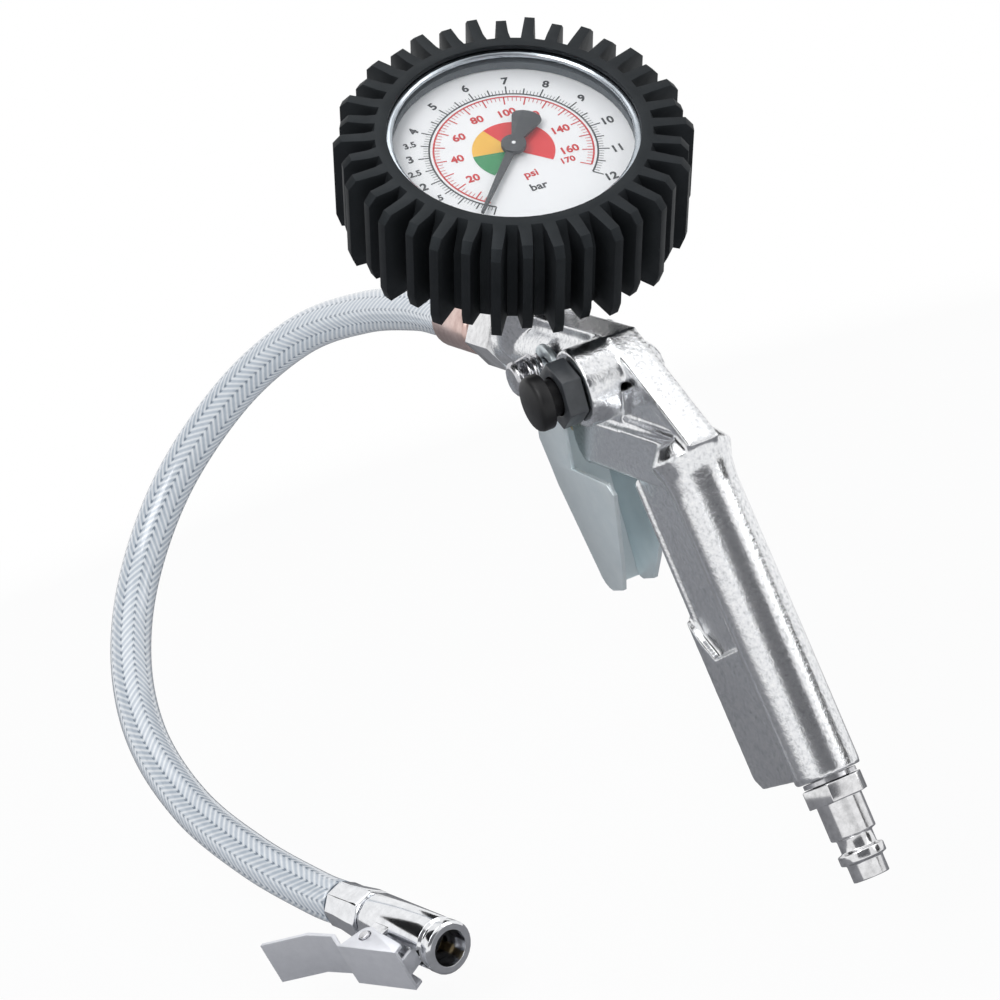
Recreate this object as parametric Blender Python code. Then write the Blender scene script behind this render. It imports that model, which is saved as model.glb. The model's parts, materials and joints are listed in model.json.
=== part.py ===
# A hand-held tyre inflator: a die-cast pistol with a tilted, rubber-booted gauge, a trigger,
# a bleed button, a short air hose and a clip-on chuck. Metres, +Z up, barrel along +X,
# the bleed button on the left (+Y). The origin is the middle of the hand grip.
import math

import bmesh
import bpy
from mathutils import Matrix, Vector

MM = 0.001
CLEAR = 0.3 * MM

# Handle
GRIP_RAKE = math.radians(22)
GRIP_TOP = 40 * MM
GRIP_BOTTOM = 41 * MM
TUBE_RADIUS = 8.1 * MM
COLLAR_RADIUS = 10.2 * MM
COLLAR_LENGTH = 9 * MM
WEB_REACH = 34 * MM
WEB_HALF = 3 * MM
BEAD_HALF = 3.8 * MM
BEAD_DEPTH = 2.4 * MM
PLATE_HALF = 5 * MM
PLATE_TIP = 6 * MM
PLATE_START = 5 * MM

# Head
BARREL_HEIGHT = 54.5 * MM
BARREL_RADIUS = 8 * MM
BARREL_FRONT = 108 * MM
HEAD_REAR = 38 * MM
HEAD_TOP = 10 * MM
HEAD_HALF = 4 * MM
POCKET_DEPTH = 1.5 * MM
ARM_HALF = 5.5 * MM
ARM_FRONT = 73 * MM
ARM_LOW = 28 * MM
ARM_HIGH = 40.5 * MM
ARM_ROUND = 5 * MM
THREAD_RADIUS = 4.5 * MM

# Air inlet nipple
NIPPLE_HEX = 13.5 * MM
NIPPLE_STEPS = ((4.4, 0), (8.6, 5.6), (3.5, 4.4), (2.6, 5.65), (4.6, 4.45))
NIPPLE_BORE = 2.6 * MM
WASHER = 1 * MM

# Bleed valve
BLEED_X = 41 * MM
BOSS_RADIUS = 9.8 * MM
BOSS_END = 14 * MM
BLEED_HEX = 14.5 * MM
BLEED_NUT = 5 * MM
BUTTON_RADIUS = 6.9 * MM
BUTTON_NECK = 4.6 * MM
BUTTON_HEAD = 4 * MM
BUTTON_TRAVEL = 2.2 * MM
BLEED_BORE = 4.2 * MM

# Trigger
PIVOT_X = 67 * MM
PIVOT_Z = 55 * MM
PIVOT_SHANK = 2.6 * MM
EAR_RADIUS = 6 * MM
EAR_HALF = 9.8 * MM
SHEET = 1.3 * MM
TRIGGER_FRONT = 88.5 * MM
TRIGGER_TIP_HALF = 5 * MM
TRIGGER_TIP_X = 82 * MM
TRIGGER_TIP_Z = -8.5 * MM
SPRING_RADIUS = 3.9 * MM
SPRING_WIRE = 1.2 * MM
SPRING_PITCH = 1.7 * MM
SPRING_TURNS = 3.5
SPRING_ARM = 9 * MM

# Inflate valve in the arm
VALVE_Z = 34 * MM
VALVE_BORE = 3.6 * MM
VALVE_BORE_END = 30 * MM
STEM_RADIUS = 1.8 * MM
DISC_RADIUS = 3 * MM
DISC_X = 50 * MM
DISC_THICK = 3 * MM
GLAND_LENGTH = 8 * MM
STEM_GAP = 2.2 * MM

# Gauge
GAUGE_X = 71 * MM
GAUGE_Z = BARREL_HEIGHT + 58 * MM
GAUGE_TILT = math.radians(35)
CASE_RADIUS = 33 * MM
BOOT_OPENING = CASE_RADIUS - 2 * MM
CASE_DEPTH = 25 * MM
CASE_WALL = 1 * MM
BOOT_RADIUS = CASE_RADIUS + 4.5 * MM
RIB_COUNT = 36
RIB_TALL = BOOT_RADIUS + 6.5 * MM
RIB_SHORT = BOOT_RADIUS + 5.1 * MM
BOOT_DEPTH = 26 * MM
RIB_OVERHANG = 1.5 * MM
RIB_MIDDLE = 0.69
RIB_TAPER = 0.35
BEZEL_RING = CASE_RADIUS - 3.5 * MM
LENS_TOP = 2.4 * MM
LENS_THICK = 1.2 * MM
DIAL_TOP = 6.4 * MM
DIAL_THICK = 0.6 * MM
STEM_OFFSET = 10 * MM
SOCKET_STEM = 5.6 * MM
SOCKET_HEX = 14 * MM
GAUGE_BOSS = 9 * MM
GAUGE_BOSS_TOP = 44 * MM
POINTER_REACH = 25 * MM
POINTER_TAIL = 11 * MM
POINTER_TAIL_HALF = 3.6 * MM
POINTER_ZERO = math.radians(135)
TUBE_ARC = CASE_RADIUS - 9.5 * MM
PINION_RADIUS = 2 * MM
SECTOR_RADIUS = 12 * MM

# Hose and its fittings
HOSE_RADIUS = 6 * MM
FITTING_HEX = 16 * MM
FITTING_HEX_LENGTH = 15 * MM
FERRULE_RADIUS = 7.5 * MM
FERRULE_LENGTH = 24 * MM
HOSE_ROUTE = (
    (180, 1.5, 54.5), (209, 7, 52), (238, 18.5, 45.5), (260, 37, 31), (269, 60, 10),
    (263.5, 80, -12), (247, 94, -31), (222, 101.5, -47), (192, 101.5, -60.5), (160, 96, -69.5),
)

# Chuck, along its own axis from the hose's end
CHUCK_START = Vector((122.9, 85.1, -77.1)) * MM
CHUCK_AXIS = Vector((-0.9565, -0.2664, -0.0961)).normalized()
CHUCK_ROLL = math.radians(76)
CRIMP = 14 * MM
CRIMP_SMALL = 12 * MM
CRIMP_LARGE = 13.4 * MM
CHUCK_LENGTH = 32 * MM
CHUCK_RADIUS = 7 * MM
MOUTH_RADIUS = 4.9 * MM
MOUTH_DEPTH = 15 * MM
LEVER_PIN_X = 26 * MM
LEVER_PIN_Z = -10 * MM
LEVER_PLATE_Z = -14.6 * MM
LEVER_HALF = 6.7 * MM
LEVER_SHEET = 1 * MM
LEVER_LEAN = math.radians(14)
CLAW_TIP = 5.4 * MM
LEVER_FRONT = 39.4 * MM
CLAW_X = LEVER_FRONT - LEVER_SHEET - 0.2 * MM
TAB_END = 5.5 * MM
TAB_DROP = 3 * MM

ROUND_SIDES = 28
SMALL_SIDES = 12

for old in list(bpy.data.objects):
    bpy.data.objects.remove(old, do_unlink=True)


# Frames of the handle, the gauge and the chuck
def frame_of(origin, x_axis, z_axis):
    x_axis = x_axis.normalized()
    z_axis = (z_axis - z_axis.dot(x_axis) * x_axis).normalized()
    y_axis = z_axis.cross(x_axis)
    turn = Matrix((x_axis, y_axis, z_axis)).transposed()
    return Matrix.Translation(origin) @ turn.to_4x4()


GRIP = Matrix.Rotation(GRIP_RAKE, 4, "Y")
GAUGE = Matrix.Translation((GAUGE_X, 0, GAUGE_Z)) @ Matrix.Rotation(-GAUGE_TILT, 4, "Y")
LEVER_SIDE = Vector((0, math.sin(CHUCK_ROLL), -math.cos(CHUCK_ROLL)))
CHUCK = frame_of(CHUCK_START, CHUCK_AXIS, -LEVER_SIDE)
ALONG_X = Matrix.Rotation(math.pi / 2, 4, "Y")
ALONG_Y = Matrix.Rotation(-math.pi / 2, 4, "X")
UPRIGHT = Matrix.Identity(4)


def paint(name, colour, roughness, metallic):
    material = bpy.data.materials.new(name)
    material.use_nodes = True
    shader = material.node_tree.nodes["Principled BSDF"]
    shader.inputs["Base Color"].default_value = (*colour, 1)
    shader.inputs["Roughness"].default_value = roughness
    shader.inputs["Metallic"].default_value = metallic
    return material


CASTING = paint("polished_casting", (0.80, 0.81, 0.83), 0.22, 1)
ZINC = paint("blue_zinc", (0.62, 0.70, 0.74), 0.3, 1)
CHROME = paint("chrome", (0.85, 0.86, 0.88), 0.12, 1)
BRASS = paint("brass", (0.75, 0.55, 0.28), 0.3, 1)
COPPER = paint("copper_ferrule", (0.72, 0.50, 0.44), 0.35, 1)
STEEL = paint("spring_steel", (0.66, 0.67, 0.70), 0.3, 1)
RUBBER = paint("black_rubber", (0.014, 0.015, 0.017), 0.6, 0)
DARK = paint("dark_grey_nut", (0.08, 0.09, 0.10), 0.45, 0)
BLACK = paint("black_button", (0.012, 0.012, 0.014), 0.4, 0)
WHITE = paint("dial_white", (0.86, 0.87, 0.86), 0.5, 0)
GLASS = paint("clear_lens", (0.95, 0.97, 0.98), 0.05, 0)
HOSE = paint("clear_hose", (0.74, 0.79, 0.84), 0.25, 0)


# Solids: each function returns a closed object in the world frame
def add_object(name, builder, matrix=UPRIGHT):
    builder.transform(matrix)
    bmesh.ops.recalc_face_normals(builder, faces=builder.faces)
    mesh = bpy.data.meshes.new(name)
    builder.to_mesh(mesh)
    builder.free()
    made = bpy.data.objects.new(name, mesh)
    bpy.context.scene.collection.objects.link(made)
    return made


def lathe(name, profile, matrix=UPRIGHT, sides=ROUND_SIDES, turn=0.0):
    builder = bmesh.new()
    rings = []
    for radius, height in profile:
        if radius == 0:
            rings.append([builder.verts.new((0, 0, height))])
            continue
        ring = []
        for step in range(sides):
            angle = turn + math.tau * step / sides
            ring.append(builder.verts.new((radius * math.cos(angle), radius * math.sin(angle), height)))
        rings.append(ring)
    for first, second in zip(rings, rings[1:] + rings[:1]):
        for step in range(sides):
            after = (step + 1) % sides
            corners = [first[step % len(first)], first[after % len(first)],
                       second[after % len(second)], second[step % len(second)]]
            corners = list(dict.fromkeys(corners))
            if len(corners) > 2:
                builder.faces.new(corners)
    return add_object(name, builder, matrix)


def rod(name, radius, low, high, matrix=UPRIGHT, sides=ROUND_SIDES, turn=0.0):
    return lathe(name, ((0, low), (radius, low), (radius, high), (0, high)), matrix, sides, turn)


def ring(name, inner, outer, low, high, matrix=UPRIGHT, sides=ROUND_SIDES):
    return lathe(name, ((inner, low), (outer, low), (outer, high), (inner, high)), matrix, sides)


def hexagon(name, across, low, high, matrix=UPRIGHT, sides=6):
    return rod(name, across / 2 / math.cos(math.pi / sides), low, high, matrix, sides, math.pi / sides)


def prism(name, outline, low, high, matrix=UPRIGHT):
    builder = bmesh.new()
    bottom = [builder.verts.new((x, low, z)) for x, z in outline]
    top = [builder.verts.new((x, high, z)) for x, z in outline]
    builder.faces.new(bottom)
    builder.faces.new(top[::-1])
    for step in range(len(outline)):
        after = (step + 1) % len(outline)
        builder.faces.new((bottom[step], bottom[after], top[after], top[step]))
    return add_object(name, builder, matrix)


def block(name, low, high, matrix=UPRIGHT):
    outline = ((low[0], low[2]), (high[0], low[2]), (high[0], high[2]), (low[0], high[2]))
    return prism(name, outline, low[1], high[1], matrix)


def arc(centre, radius, start, end, steps):
    points = []
    for step in range(steps + 1):
        angle = math.radians(start + (end - start) * step / steps)
        points.append((centre[0] + radius * math.cos(angle), centre[1] + radius * math.sin(angle)))
    return points


def combine(target, others, operation):
    for other in others:
        change = target.modifiers.new(operation, "BOOLEAN")
        change.operation = operation
        change.solver = "EXACT"
        change.object = other
        bpy.context.view_layer.update()
        shape = bpy.data.meshes.new_from_object(target.evaluated_get(bpy.context.evaluated_depsgraph_get()))
        target.modifiers.clear()
        builder = bmesh.new()
        builder.from_mesh(shape)
        bmesh.ops.dissolve_degenerate(builder, dist=0.001 * MM, edges=builder.edges)
        bmesh.ops.triangulate(builder, faces=builder.faces)
        builder.to_mesh(shape)
        builder.free()
        target.data = shape
        bpy.data.objects.remove(other, do_unlink=True)
    return target


def joined(target, *others):
    return combine(target, others, "UNION")


def cut(target, *others):
    return combine(target, others, "DIFFERENCE")


def common(target, *others):
    return combine(target, others, "INTERSECT")


def finish(made, material, angle=35):
    made.data.materials.clear()
    made.data.materials.append(material)
    made.data.shade_smooth()
    made.data.set_sharp_from_angle(angle=math.radians(angle))
    return made


def set_origin(made, point):
    made.data.transform(Matrix.Translation(-Vector(point)))
    made.location = point
    return made


def tube(name, points, radius, material, resolution):
    curve = bpy.data.curves.new(name, "CURVE")
    curve.dimensions = "3D"
    curve.bevel_depth = radius
    curve.bevel_resolution = resolution
    curve.use_fill_caps = True
    curve.render_resolution_u = 0
    spline = curve.splines.new("POLY")
    spline.points.add(len(points) - 1)
    for slot, point in zip(spline.points, points):
        slot.co = (*point, 1)
    curve.materials.append(material)
    made = bpy.data.objects.new(name, curve)
    bpy.context.scene.collection.objects.link(made)
    return made


# Head and handle casting
def place(offset, direction):
    return Matrix.Translation(offset) @ direction


STEM = GAUGE @ Matrix.Translation((-STEM_OFFSET, 0, 0))
BARREL = place((0, 0, BARREL_HEIGHT), ALONG_X)
BLEED = place((BLEED_X, 0, BARREL_HEIGHT), ALONG_Y)
PIVOT = place((PIVOT_X, 0, PIVOT_Z), ALONG_Y)
VALVE = place((0, 0, VALVE_Z), ALONG_X)


def make_casting():
    top = BARREL_HEIGHT + HEAD_TOP
    collar_top = GRIP @ Vector((0, 0, GRIP_TOP))
    strip_low = (collar_top.x - COLLAR_RADIUS, collar_top.z + 5 * MM)
    head = prism("body_casting", (
        strip_low, (HEAD_REAR, top), (BARREL_FRONT - 22 * MM, top), (BARREL_FRONT - 22 * MM, BARREL_HEIGHT),
        (ARM_FRONT - 8 * MM, BARREL_HEIGHT - BARREL_RADIUS), (ARM_FRONT - 14 * MM, ARM_LOW + 7 * MM),
        (collar_top.x + 6 * MM, ARM_LOW + 3 * MM), (collar_top.x - 4 * MM, collar_top.z - 4 * MM)),
        -HEAD_HALF, HEAD_HALF)
    barrel = rod("barrel", BARREL_RADIUS, HEAD_REAR - 3 * MM, BARREL_FRONT, BARREL)
    round_low = (ARM_FRONT - ARM_ROUND, ARM_LOW + ARM_ROUND)
    round_high = (ARM_FRONT - ARM_ROUND, ARM_HIGH - ARM_ROUND)
    arm = prism("arm", [(collar_top.x, ARM_LOW + 0.5 * MM)] + arc(round_low, ARM_ROUND, -90, 0, 5)
                + arc(round_high, ARM_ROUND, 0, 90, 5) + [(collar_top.x, ARM_HIGH + 1 * MM)],
                -ARM_HALF, ARM_HALF)
    grip = lathe("grip", ((0, GRIP_TOP + 4 * MM), (COLLAR_RADIUS - 3 * MM, GRIP_TOP + 4 * MM),
                          (COLLAR_RADIUS, GRIP_TOP), (TUBE_RADIUS + 0.5 * MM, GRIP_TOP - COLLAR_LENGTH / 2),
                          (TUBE_RADIUS, GRIP_TOP - COLLAR_LENGTH), (TUBE_RADIUS, -GRIP_BOTTOM),
                          (0, -GRIP_BOTTOM)), GRIP)
    web = prism("web", ((0, GRIP_TOP + 2 * MM), (WEB_REACH - 1 * MM, GRIP_TOP + 2 * MM),
                        (WEB_REACH - 1 * MM, -PLATE_START - 15 * MM), (0, -PLATE_START - 15 * MM)),
                -WEB_HALF, WEB_HALF, GRIP)
    bead = prism("bead", ((WEB_REACH - BEAD_DEPTH, GRIP_TOP + 1 * MM), (WEB_REACH, GRIP_TOP + 1 * MM),
                          (WEB_REACH, -PLATE_START - 2 * MM), (WEB_REACH - BEAD_DEPTH, -PLATE_START - 2 * MM)),
                 -BEAD_HALF, BEAD_HALF, GRIP)
    plate_low = -GRIP_BOTTOM + 2 * MM
    plate = prism("plate", ((WEB_REACH + 0.5 * MM, PLATE_TIP), (WEB_REACH + 0.3 * MM, plate_low + 3 * MM),
                            (WEB_REACH - 3 * MM, plate_low), (TUBE_RADIUS - 3 * MM, plate_low - 1 * MM),
                            (TUBE_RADIUS - 3 * MM, -PLATE_START - 1 * MM),
                            (WEB_REACH - 8 * MM, -PLATE_START - 1 * MM), (WEB_REACH - 3 * MM, 0)),
                  -PLATE_HALF, PLATE_HALF, GRIP)
    boss = rod("boss", BOSS_RADIUS, 0, BOSS_END, BLEED)
    gauge_boss = rod("gauge_boss", GAUGE_BOSS, -GAUGE_BOSS_TOP - 19 * MM, -GAUGE_BOSS_TOP, STEM)
    pad = rod("pad", EAR_RADIUS - 0.5 * MM, -EAR_HALF + SHEET + CLEAR, EAR_HALF - SHEET - CLEAR, PIVOT)
    casting = joined(head, barrel, arm, grip, web, bead, plate, boss, gauge_boss, pad)
    pocket = ((HEAD_REAR - 2 * MM, top - 7.5 * MM), (BLEED_X + 1 * MM, ARM_HIGH + 2.5 * MM),
              (collar_top.x - 3 * MM, ARM_HIGH + 2 * MM))
    cut(casting,
        prism("pocket_left", pocket, HEAD_HALF - POCKET_DEPTH, HEAD_HALF + 2 * MM),
        prism("pocket_right", pocket, -HEAD_HALF - 2 * MM, -HEAD_HALF + POCKET_DEPTH),
        rod("bleed_bore", BLEED_BORE, 2 * MM, BOSS_END + 5 * MM, BLEED),
        rod("valve_bore", VALVE_BORE, VALVE_BORE_END, ARM_FRONT + 5 * MM, VALVE),
        rod("front_bore", THREAD_RADIUS + CLEAR, BARREL_FRONT - 9 * MM, BARREL_FRONT + 5 * MM, BARREL),
        rod("inlet_bore", THREAD_RADIUS + CLEAR, -GRIP_BOTTOM - 5 * MM, -GRIP_BOTTOM + 10 * MM, GRIP),
        rod("gauge_bore", THREAD_RADIUS + CLEAR, -GAUGE_BOSS_TOP - 10 * MM, -GAUGE_BOSS_TOP + 5 * MM, STEM),
        rod("left_pivot_hole", PIVOT_SHANK + CLEAR, 4.5 * MM, EAR_HALF + 5 * MM, PIVOT, SMALL_SIDES),
        rod("right_pivot_hole", PIVOT_SHANK + CLEAR, -EAR_HALF - 5 * MM, -4.5 * MM, PIVOT, SMALL_SIDES))
    finish(casting, CASTING)


# Air inlet at the foot of the handle
def make_inlet():
    foot = -GRIP_BOTTOM
    ring_top = foot - CLEAR
    finish(ring("inlet_washer", THREAD_RADIUS + CLEAR, NIPPLE_HEX / 2 - 0.2 * MM, ring_top - WASHER, ring_top,
                GRIP), COPPER)
    hex_top = ring_top - WASHER - CLEAR
    hex_length = NIPPLE_STEPS[0][0] * MM
    nut = hexagon("inlet_nipple", NIPPLE_HEX, hex_top - hex_length, hex_top, GRIP)
    profile = [(0, foot + 8 * MM), (THREAD_RADIUS, foot + 8 * MM), (THREAD_RADIUS, hex_top - 1 * MM)]
    height = hex_top - hex_length
    profile.append((NIPPLE_STEPS[1][1] * MM, hex_top - 1 * MM))
    for length, radius in NIPPLE_STEPS[1:]:
        profile.append((radius * MM, height - 0.4 * MM))
        height -= length * MM
        profile.append((radius * MM, height))
    profile.append((0, height))
    shank = lathe("shank", profile, GRIP)
    bore = rod("bore", NIPPLE_BORE, height - 2 * MM, foot + 12 * MM, GRIP, SMALL_SIDES)
    finish(cut(joined(nut, shank), bore), CHROME)
    print("nipple end centre", tuple(GRIP @ Vector((0, 0, height))))


# Bleed valve on the left of the head
def make_bleed():
    nut_low = BOSS_END + CLEAR
    nut_high = nut_low + BLEED_NUT
    nut = hexagon("bleed_nut", BLEED_HEX, nut_low, nut_high, BLEED)
    thread = rod("thread", BLEED_BORE - CLEAR, BOSS_END - 4 * MM, nut_low + 1 * MM, BLEED)
    joined(nut, thread)
    cut(nut, rod("neck_bore", BUTTON_NECK + CLEAR, nut_low + 2 * MM, nut_high + 5 * MM, BLEED),
        rod("stem_bore", STEM_RADIUS + CLEAR, BOSS_END - 9 * MM, nut_high, BLEED, SMALL_SIDES))
    finish(nut, DARK)
    head_low = nut_high + BUTTON_TRAVEL + 0.5 * MM
    face = head_low + BUTTON_HEAD
    neck_low = nut_low + 2 * MM + BUTTON_TRAVEL + CLEAR
    button = lathe("bleed_button", (
        (0, neck_low), (BUTTON_NECK, neck_low), (BUTTON_NECK, head_low), (BUTTON_RADIUS, head_low),
        (BUTTON_RADIUS, face - 1.2 * MM), (BUTTON_RADIUS - 0.6 * MM, face - 0.4 * MM),
        (BUTTON_RADIUS - 2 * MM, face), (0, face + 0.4 * MM)), BLEED)
    set_origin(finish(button, BLACK), (BLEED_X, 0, BARREL_HEIGHT))
    seat = BOSS_END - 4.5 * MM
    stem = lathe("bleed_stem", (
        (0, seat - 3 * MM), (STEM_RADIUS + 1.4 * MM, seat - 3 * MM), (STEM_RADIUS + 1.4 * MM, seat - 1.4 * MM),
        (STEM_RADIUS, seat - 1.4 * MM), (STEM_RADIUS, neck_low - CLEAR), (0, neck_low - CLEAR)),
        BLEED, SMALL_SIDES)
    set_origin(finish(stem, BRASS), (BLEED_X, 0, BARREL_HEIGHT))
    finish(ring("bleed_seal", STEM_RADIUS + CLEAR, BLEED_BORE - CLEAR, seat - 1.1 * MM, seat + CLEAR, BLEED,
                SMALL_SIDES), RUBBER)
    finish(coil("bleed_spring", 3 * MM, 0.7 * MM, 2 * MM + CLEAR, seat - 3 * MM - CLEAR, 2.5, BLEED), STEEL)


def least_gap(points, wire, apart):
    least = math.inf
    for index, point in enumerate(points):
        for other in points[index + apart:]:
            least = min(least, (point - other).length - wire)
    return least


def coil(name, radius, wire, low, high, turns, matrix, per_turn=8):
    steps = round(turns * per_turn)
    points = []
    for step in range(steps + 1):
        angle = math.tau * step / per_turn
        height = low + wire / 2 + (high - low - wire) * step / steps
        points.append(matrix @ Vector((radius * math.cos(angle), radius * math.sin(angle), height)))
    print(name, "least gap to itself, mm:", round(least_gap(points, wire, per_turn - 1) / MM, 2))
    return as_mesh(tube(name, points, wire / 2, STEEL, 1))


def as_mesh(made):
    bpy.context.view_layer.update()
    shape = bpy.data.meshes.new_from_object(made.evaluated_get(bpy.context.evaluated_depsgraph_get()))
    solid = bpy.data.objects.new(made.name, shape)
    name = made.name
    bpy.data.objects.remove(made, do_unlink=True)
    bpy.context.scene.collection.objects.link(solid)
    solid.name = name
    return solid


# Trigger with its pivot screws and torsion spring
def half_width(height):
    shoulder = (ARM_LOW - 2 * MM, EAR_HALF - 1.6 * MM)
    tip = (TRIGGER_TIP_Z, TRIGGER_TIP_HALF)
    share = (height - tip[0]) / (shoulder[0] - tip[0])
    return tip[1] + (shoulder[1] - tip[1]) * share


def trigger_wedge(name, inset):
    heights = (TRIGGER_TIP_Z - 4 * MM, ARM_LOW - 2 * MM)
    wide = EAR_HALF - inset
    sides = [(half_width(height) - inset, height) for height in heights]
    sides += [(wide, ARM_HIGH), (wide, PIVOT_Z + EAR_RADIUS + 4 * MM)]
    outline = sides + [(-half, height) for half, height in reversed(sides)]
    builder = bmesh.new()
    back = [builder.verts.new((0, y, z)) for y, z in outline]
    front = [builder.verts.new((TRIGGER_FRONT + 20 * MM, y, z)) for y, z in outline]
    builder.faces.new(back)
    builder.faces.new(front[::-1])
    for step in range(len(outline)):
        after = (step + 1) % len(outline)
        builder.faces.new((back[step], back[after], front[after], front[step]))
    return add_object(name, builder)


def make_trigger():
    ear_front = (PIVOT_X + EAR_RADIUS, PIVOT_Z)
    front = [ear_front, (TRIGGER_FRONT - 7 * MM, PIVOT_Z - 10 * MM), (TRIGGER_FRONT, ARM_LOW + 5 * MM),
             (TRIGGER_FRONT - 0.6 * MM, ARM_LOW - 8 * MM), (TRIGGER_TIP_X, TRIGGER_TIP_Z + 5 * MM)]
    tip = arc((TRIGGER_TIP_X - 5 * MM, TRIGGER_TIP_Z + 5 * MM), 5 * MM, 0, -90, 4)[1:]
    rear = [(TRIGGER_TIP_X - 12 * MM, TRIGGER_TIP_Z + 1.5 * MM), (TRIGGER_TIP_X - 17 * MM, TRIGGER_TIP_Z + 8 * MM),
            (ARM_FRONT - 22 * MM, ARM_LOW - 5 * MM), (ARM_FRONT - 20 * MM, ARM_LOW - 2 * MM),
            (ARM_FRONT + 1 * MM, ARM_LOW - 1.5 * MM)]
    ear = arc((PIVOT_X, PIVOT_Z), EAR_RADIUS, 200, 0, 10)[:-1]
    side = front + tip + rear + ear
    trigger = prism("trigger", side, -EAR_HALF - 2 * MM, EAR_HALF + 2 * MM)
    common(trigger, trigger_wedge("wedge", 0))
    hollow = [(x - SHEET * 1.1, z) for x, z in front + tip[:1]]
    hollow += [(TRIGGER_TIP_X - 7 * MM, TRIGGER_TIP_Z - 10 * MM), (10 * MM, TRIGGER_TIP_Z - 10 * MM),
               (10 * MM, PIVOT_Z + 20 * MM), (PIVOT_X + EAR_RADIUS - SHEET * 1.1, PIVOT_Z + 20 * MM)]
    inside = common(prism("hollow", hollow, -EAR_HALF - 2 * MM, EAR_HALF + 2 * MM), trigger_wedge("narrow", SHEET))
    barrel_room = block("barrel_room", (PIVOT_X - 20 * MM, -EAR_HALF + SHEET, BARREL_HEIGHT - BARREL_RADIUS - 2 * MM),
                        (TRIGGER_FRONT + 10 * MM, EAR_HALF - SHEET, PIVOT_Z + 20 * MM))
    hole = rod("hole", PIVOT_SHANK + CLEAR, -EAR_HALF - 5 * MM, EAR_HALF + 5 * MM, PIVOT, SMALL_SIDES)
    cut(trigger, inside, barrel_room, hole)
    set_origin(finish(trigger, ZINC), (PIVOT_X, 0, PIVOT_Z))


def make_pivot():
    coil_low = EAR_HALF + CLEAR
    coil_high = coil_low + SPRING_TURNS * SPRING_PITCH + SPRING_WIRE
    head = coil_high + CLEAR
    finish(lathe("pivot_screw_left", (
        (0, 5 * MM), (PIVOT_SHANK, 5 * MM), (PIVOT_SHANK, head), (SPRING_RADIUS + 0.6 * MM, head),
        (SPRING_RADIUS + 0.6 * MM, head + 1 * MM), (SPRING_RADIUS - 0.4 * MM, head + 1.8 * MM),
        (0, head + 1.8 * MM)), PIVOT, SMALL_SIDES), STEEL)
    finish(lathe("pivot_screw_right", (
        (0, -5 * MM), (PIVOT_SHANK, -5 * MM), (PIVOT_SHANK, -coil_low), (SPRING_RADIUS + 0.6 * MM, -coil_low),
        (SPRING_RADIUS + 0.6 * MM, -coil_low - 1 * MM), (SPRING_RADIUS - 0.4 * MM, -coil_low - 1.8 * MM),
        (0, -coil_low - 1.8 * MM)), PIVOT, SMALL_SIDES), STEEL)
    per_turn = 10
    steps = round(SPRING_TURNS * per_turn)
    points = []
    for step in range(steps + 1):
        angle = math.pi / 2 - math.tau * step / per_turn
        height = coil_low + SPRING_WIRE / 2 + (coil_high - coil_low - SPRING_WIRE) * step / steps
        points.append(PIVOT @ Vector((SPRING_RADIUS * math.cos(angle), SPRING_RADIUS * math.sin(angle), height)))
    first_leg = (points[0] - points[1]).normalized() * SPRING_ARM
    last_leg = (points[-1] - points[-2]).normalized() * SPRING_ARM
    first_leg.y = 0
    last_leg.y = 0
    points = [points[0] + first_leg] + points + [points[-1] + last_leg]
    gap = least_gap(points[1:-1], SPRING_WIRE, per_turn - 1)
    print("trigger_spring least gap to itself, mm:", round(gap / MM, 2))
    tube("trigger_spring", points, SPRING_WIRE / 2, STEEL, 1)


# Inflate valve inside the arm, pushed by the trigger
def make_valve():
    tip = TRIGGER_FRONT - SHEET * 1.1 - STEM_GAP
    stem = lathe("valve_stem", (
        (0, DISC_X - DISC_THICK), (DISC_RADIUS, DISC_X - DISC_THICK), (DISC_RADIUS, DISC_X), (STEM_RADIUS, DISC_X),
        (STEM_RADIUS, tip - 1 * MM), (STEM_RADIUS - 0.7 * MM, tip), (0, tip)), VALVE, SMALL_SIDES)
    set_origin(finish(stem, BRASS), (0, 0, VALVE_Z))
    gland_end = ARM_FRONT - GLAND_LENGTH + 2 * MM
    gland = ring("valve_gland", STEM_RADIUS + CLEAR, VALVE_BORE - CLEAR, gland_end, ARM_FRONT + 1 * MM, VALVE)
    flange = ring("flange", STEM_RADIUS + CLEAR, VALVE_BORE + 1 * MM, ARM_FRONT + CLEAR, ARM_FRONT + 2 * MM, VALVE)
    finish(joined(gland, flange), BRASS)
    finish(ring("valve_seat", STEM_RADIUS + 0.6 * MM, VALVE_BORE - CLEAR, DISC_X + CLEAR, DISC_X + 4 * MM, VALVE), RUBBER)
    finish(ring("stem_seal", STEM_RADIUS + CLEAR, VALVE_BORE - CLEAR, gland_end - CLEAR - 2 * MM, gland_end - CLEAR,
                VALVE), RUBBER)
    finish(coil("valve_spring", 2.6 * MM, 0.7 * MM, VALVE_BORE_END + CLEAR, DISC_X - DISC_THICK - CLEAR, 6, VALVE),
           STEEL)


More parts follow.
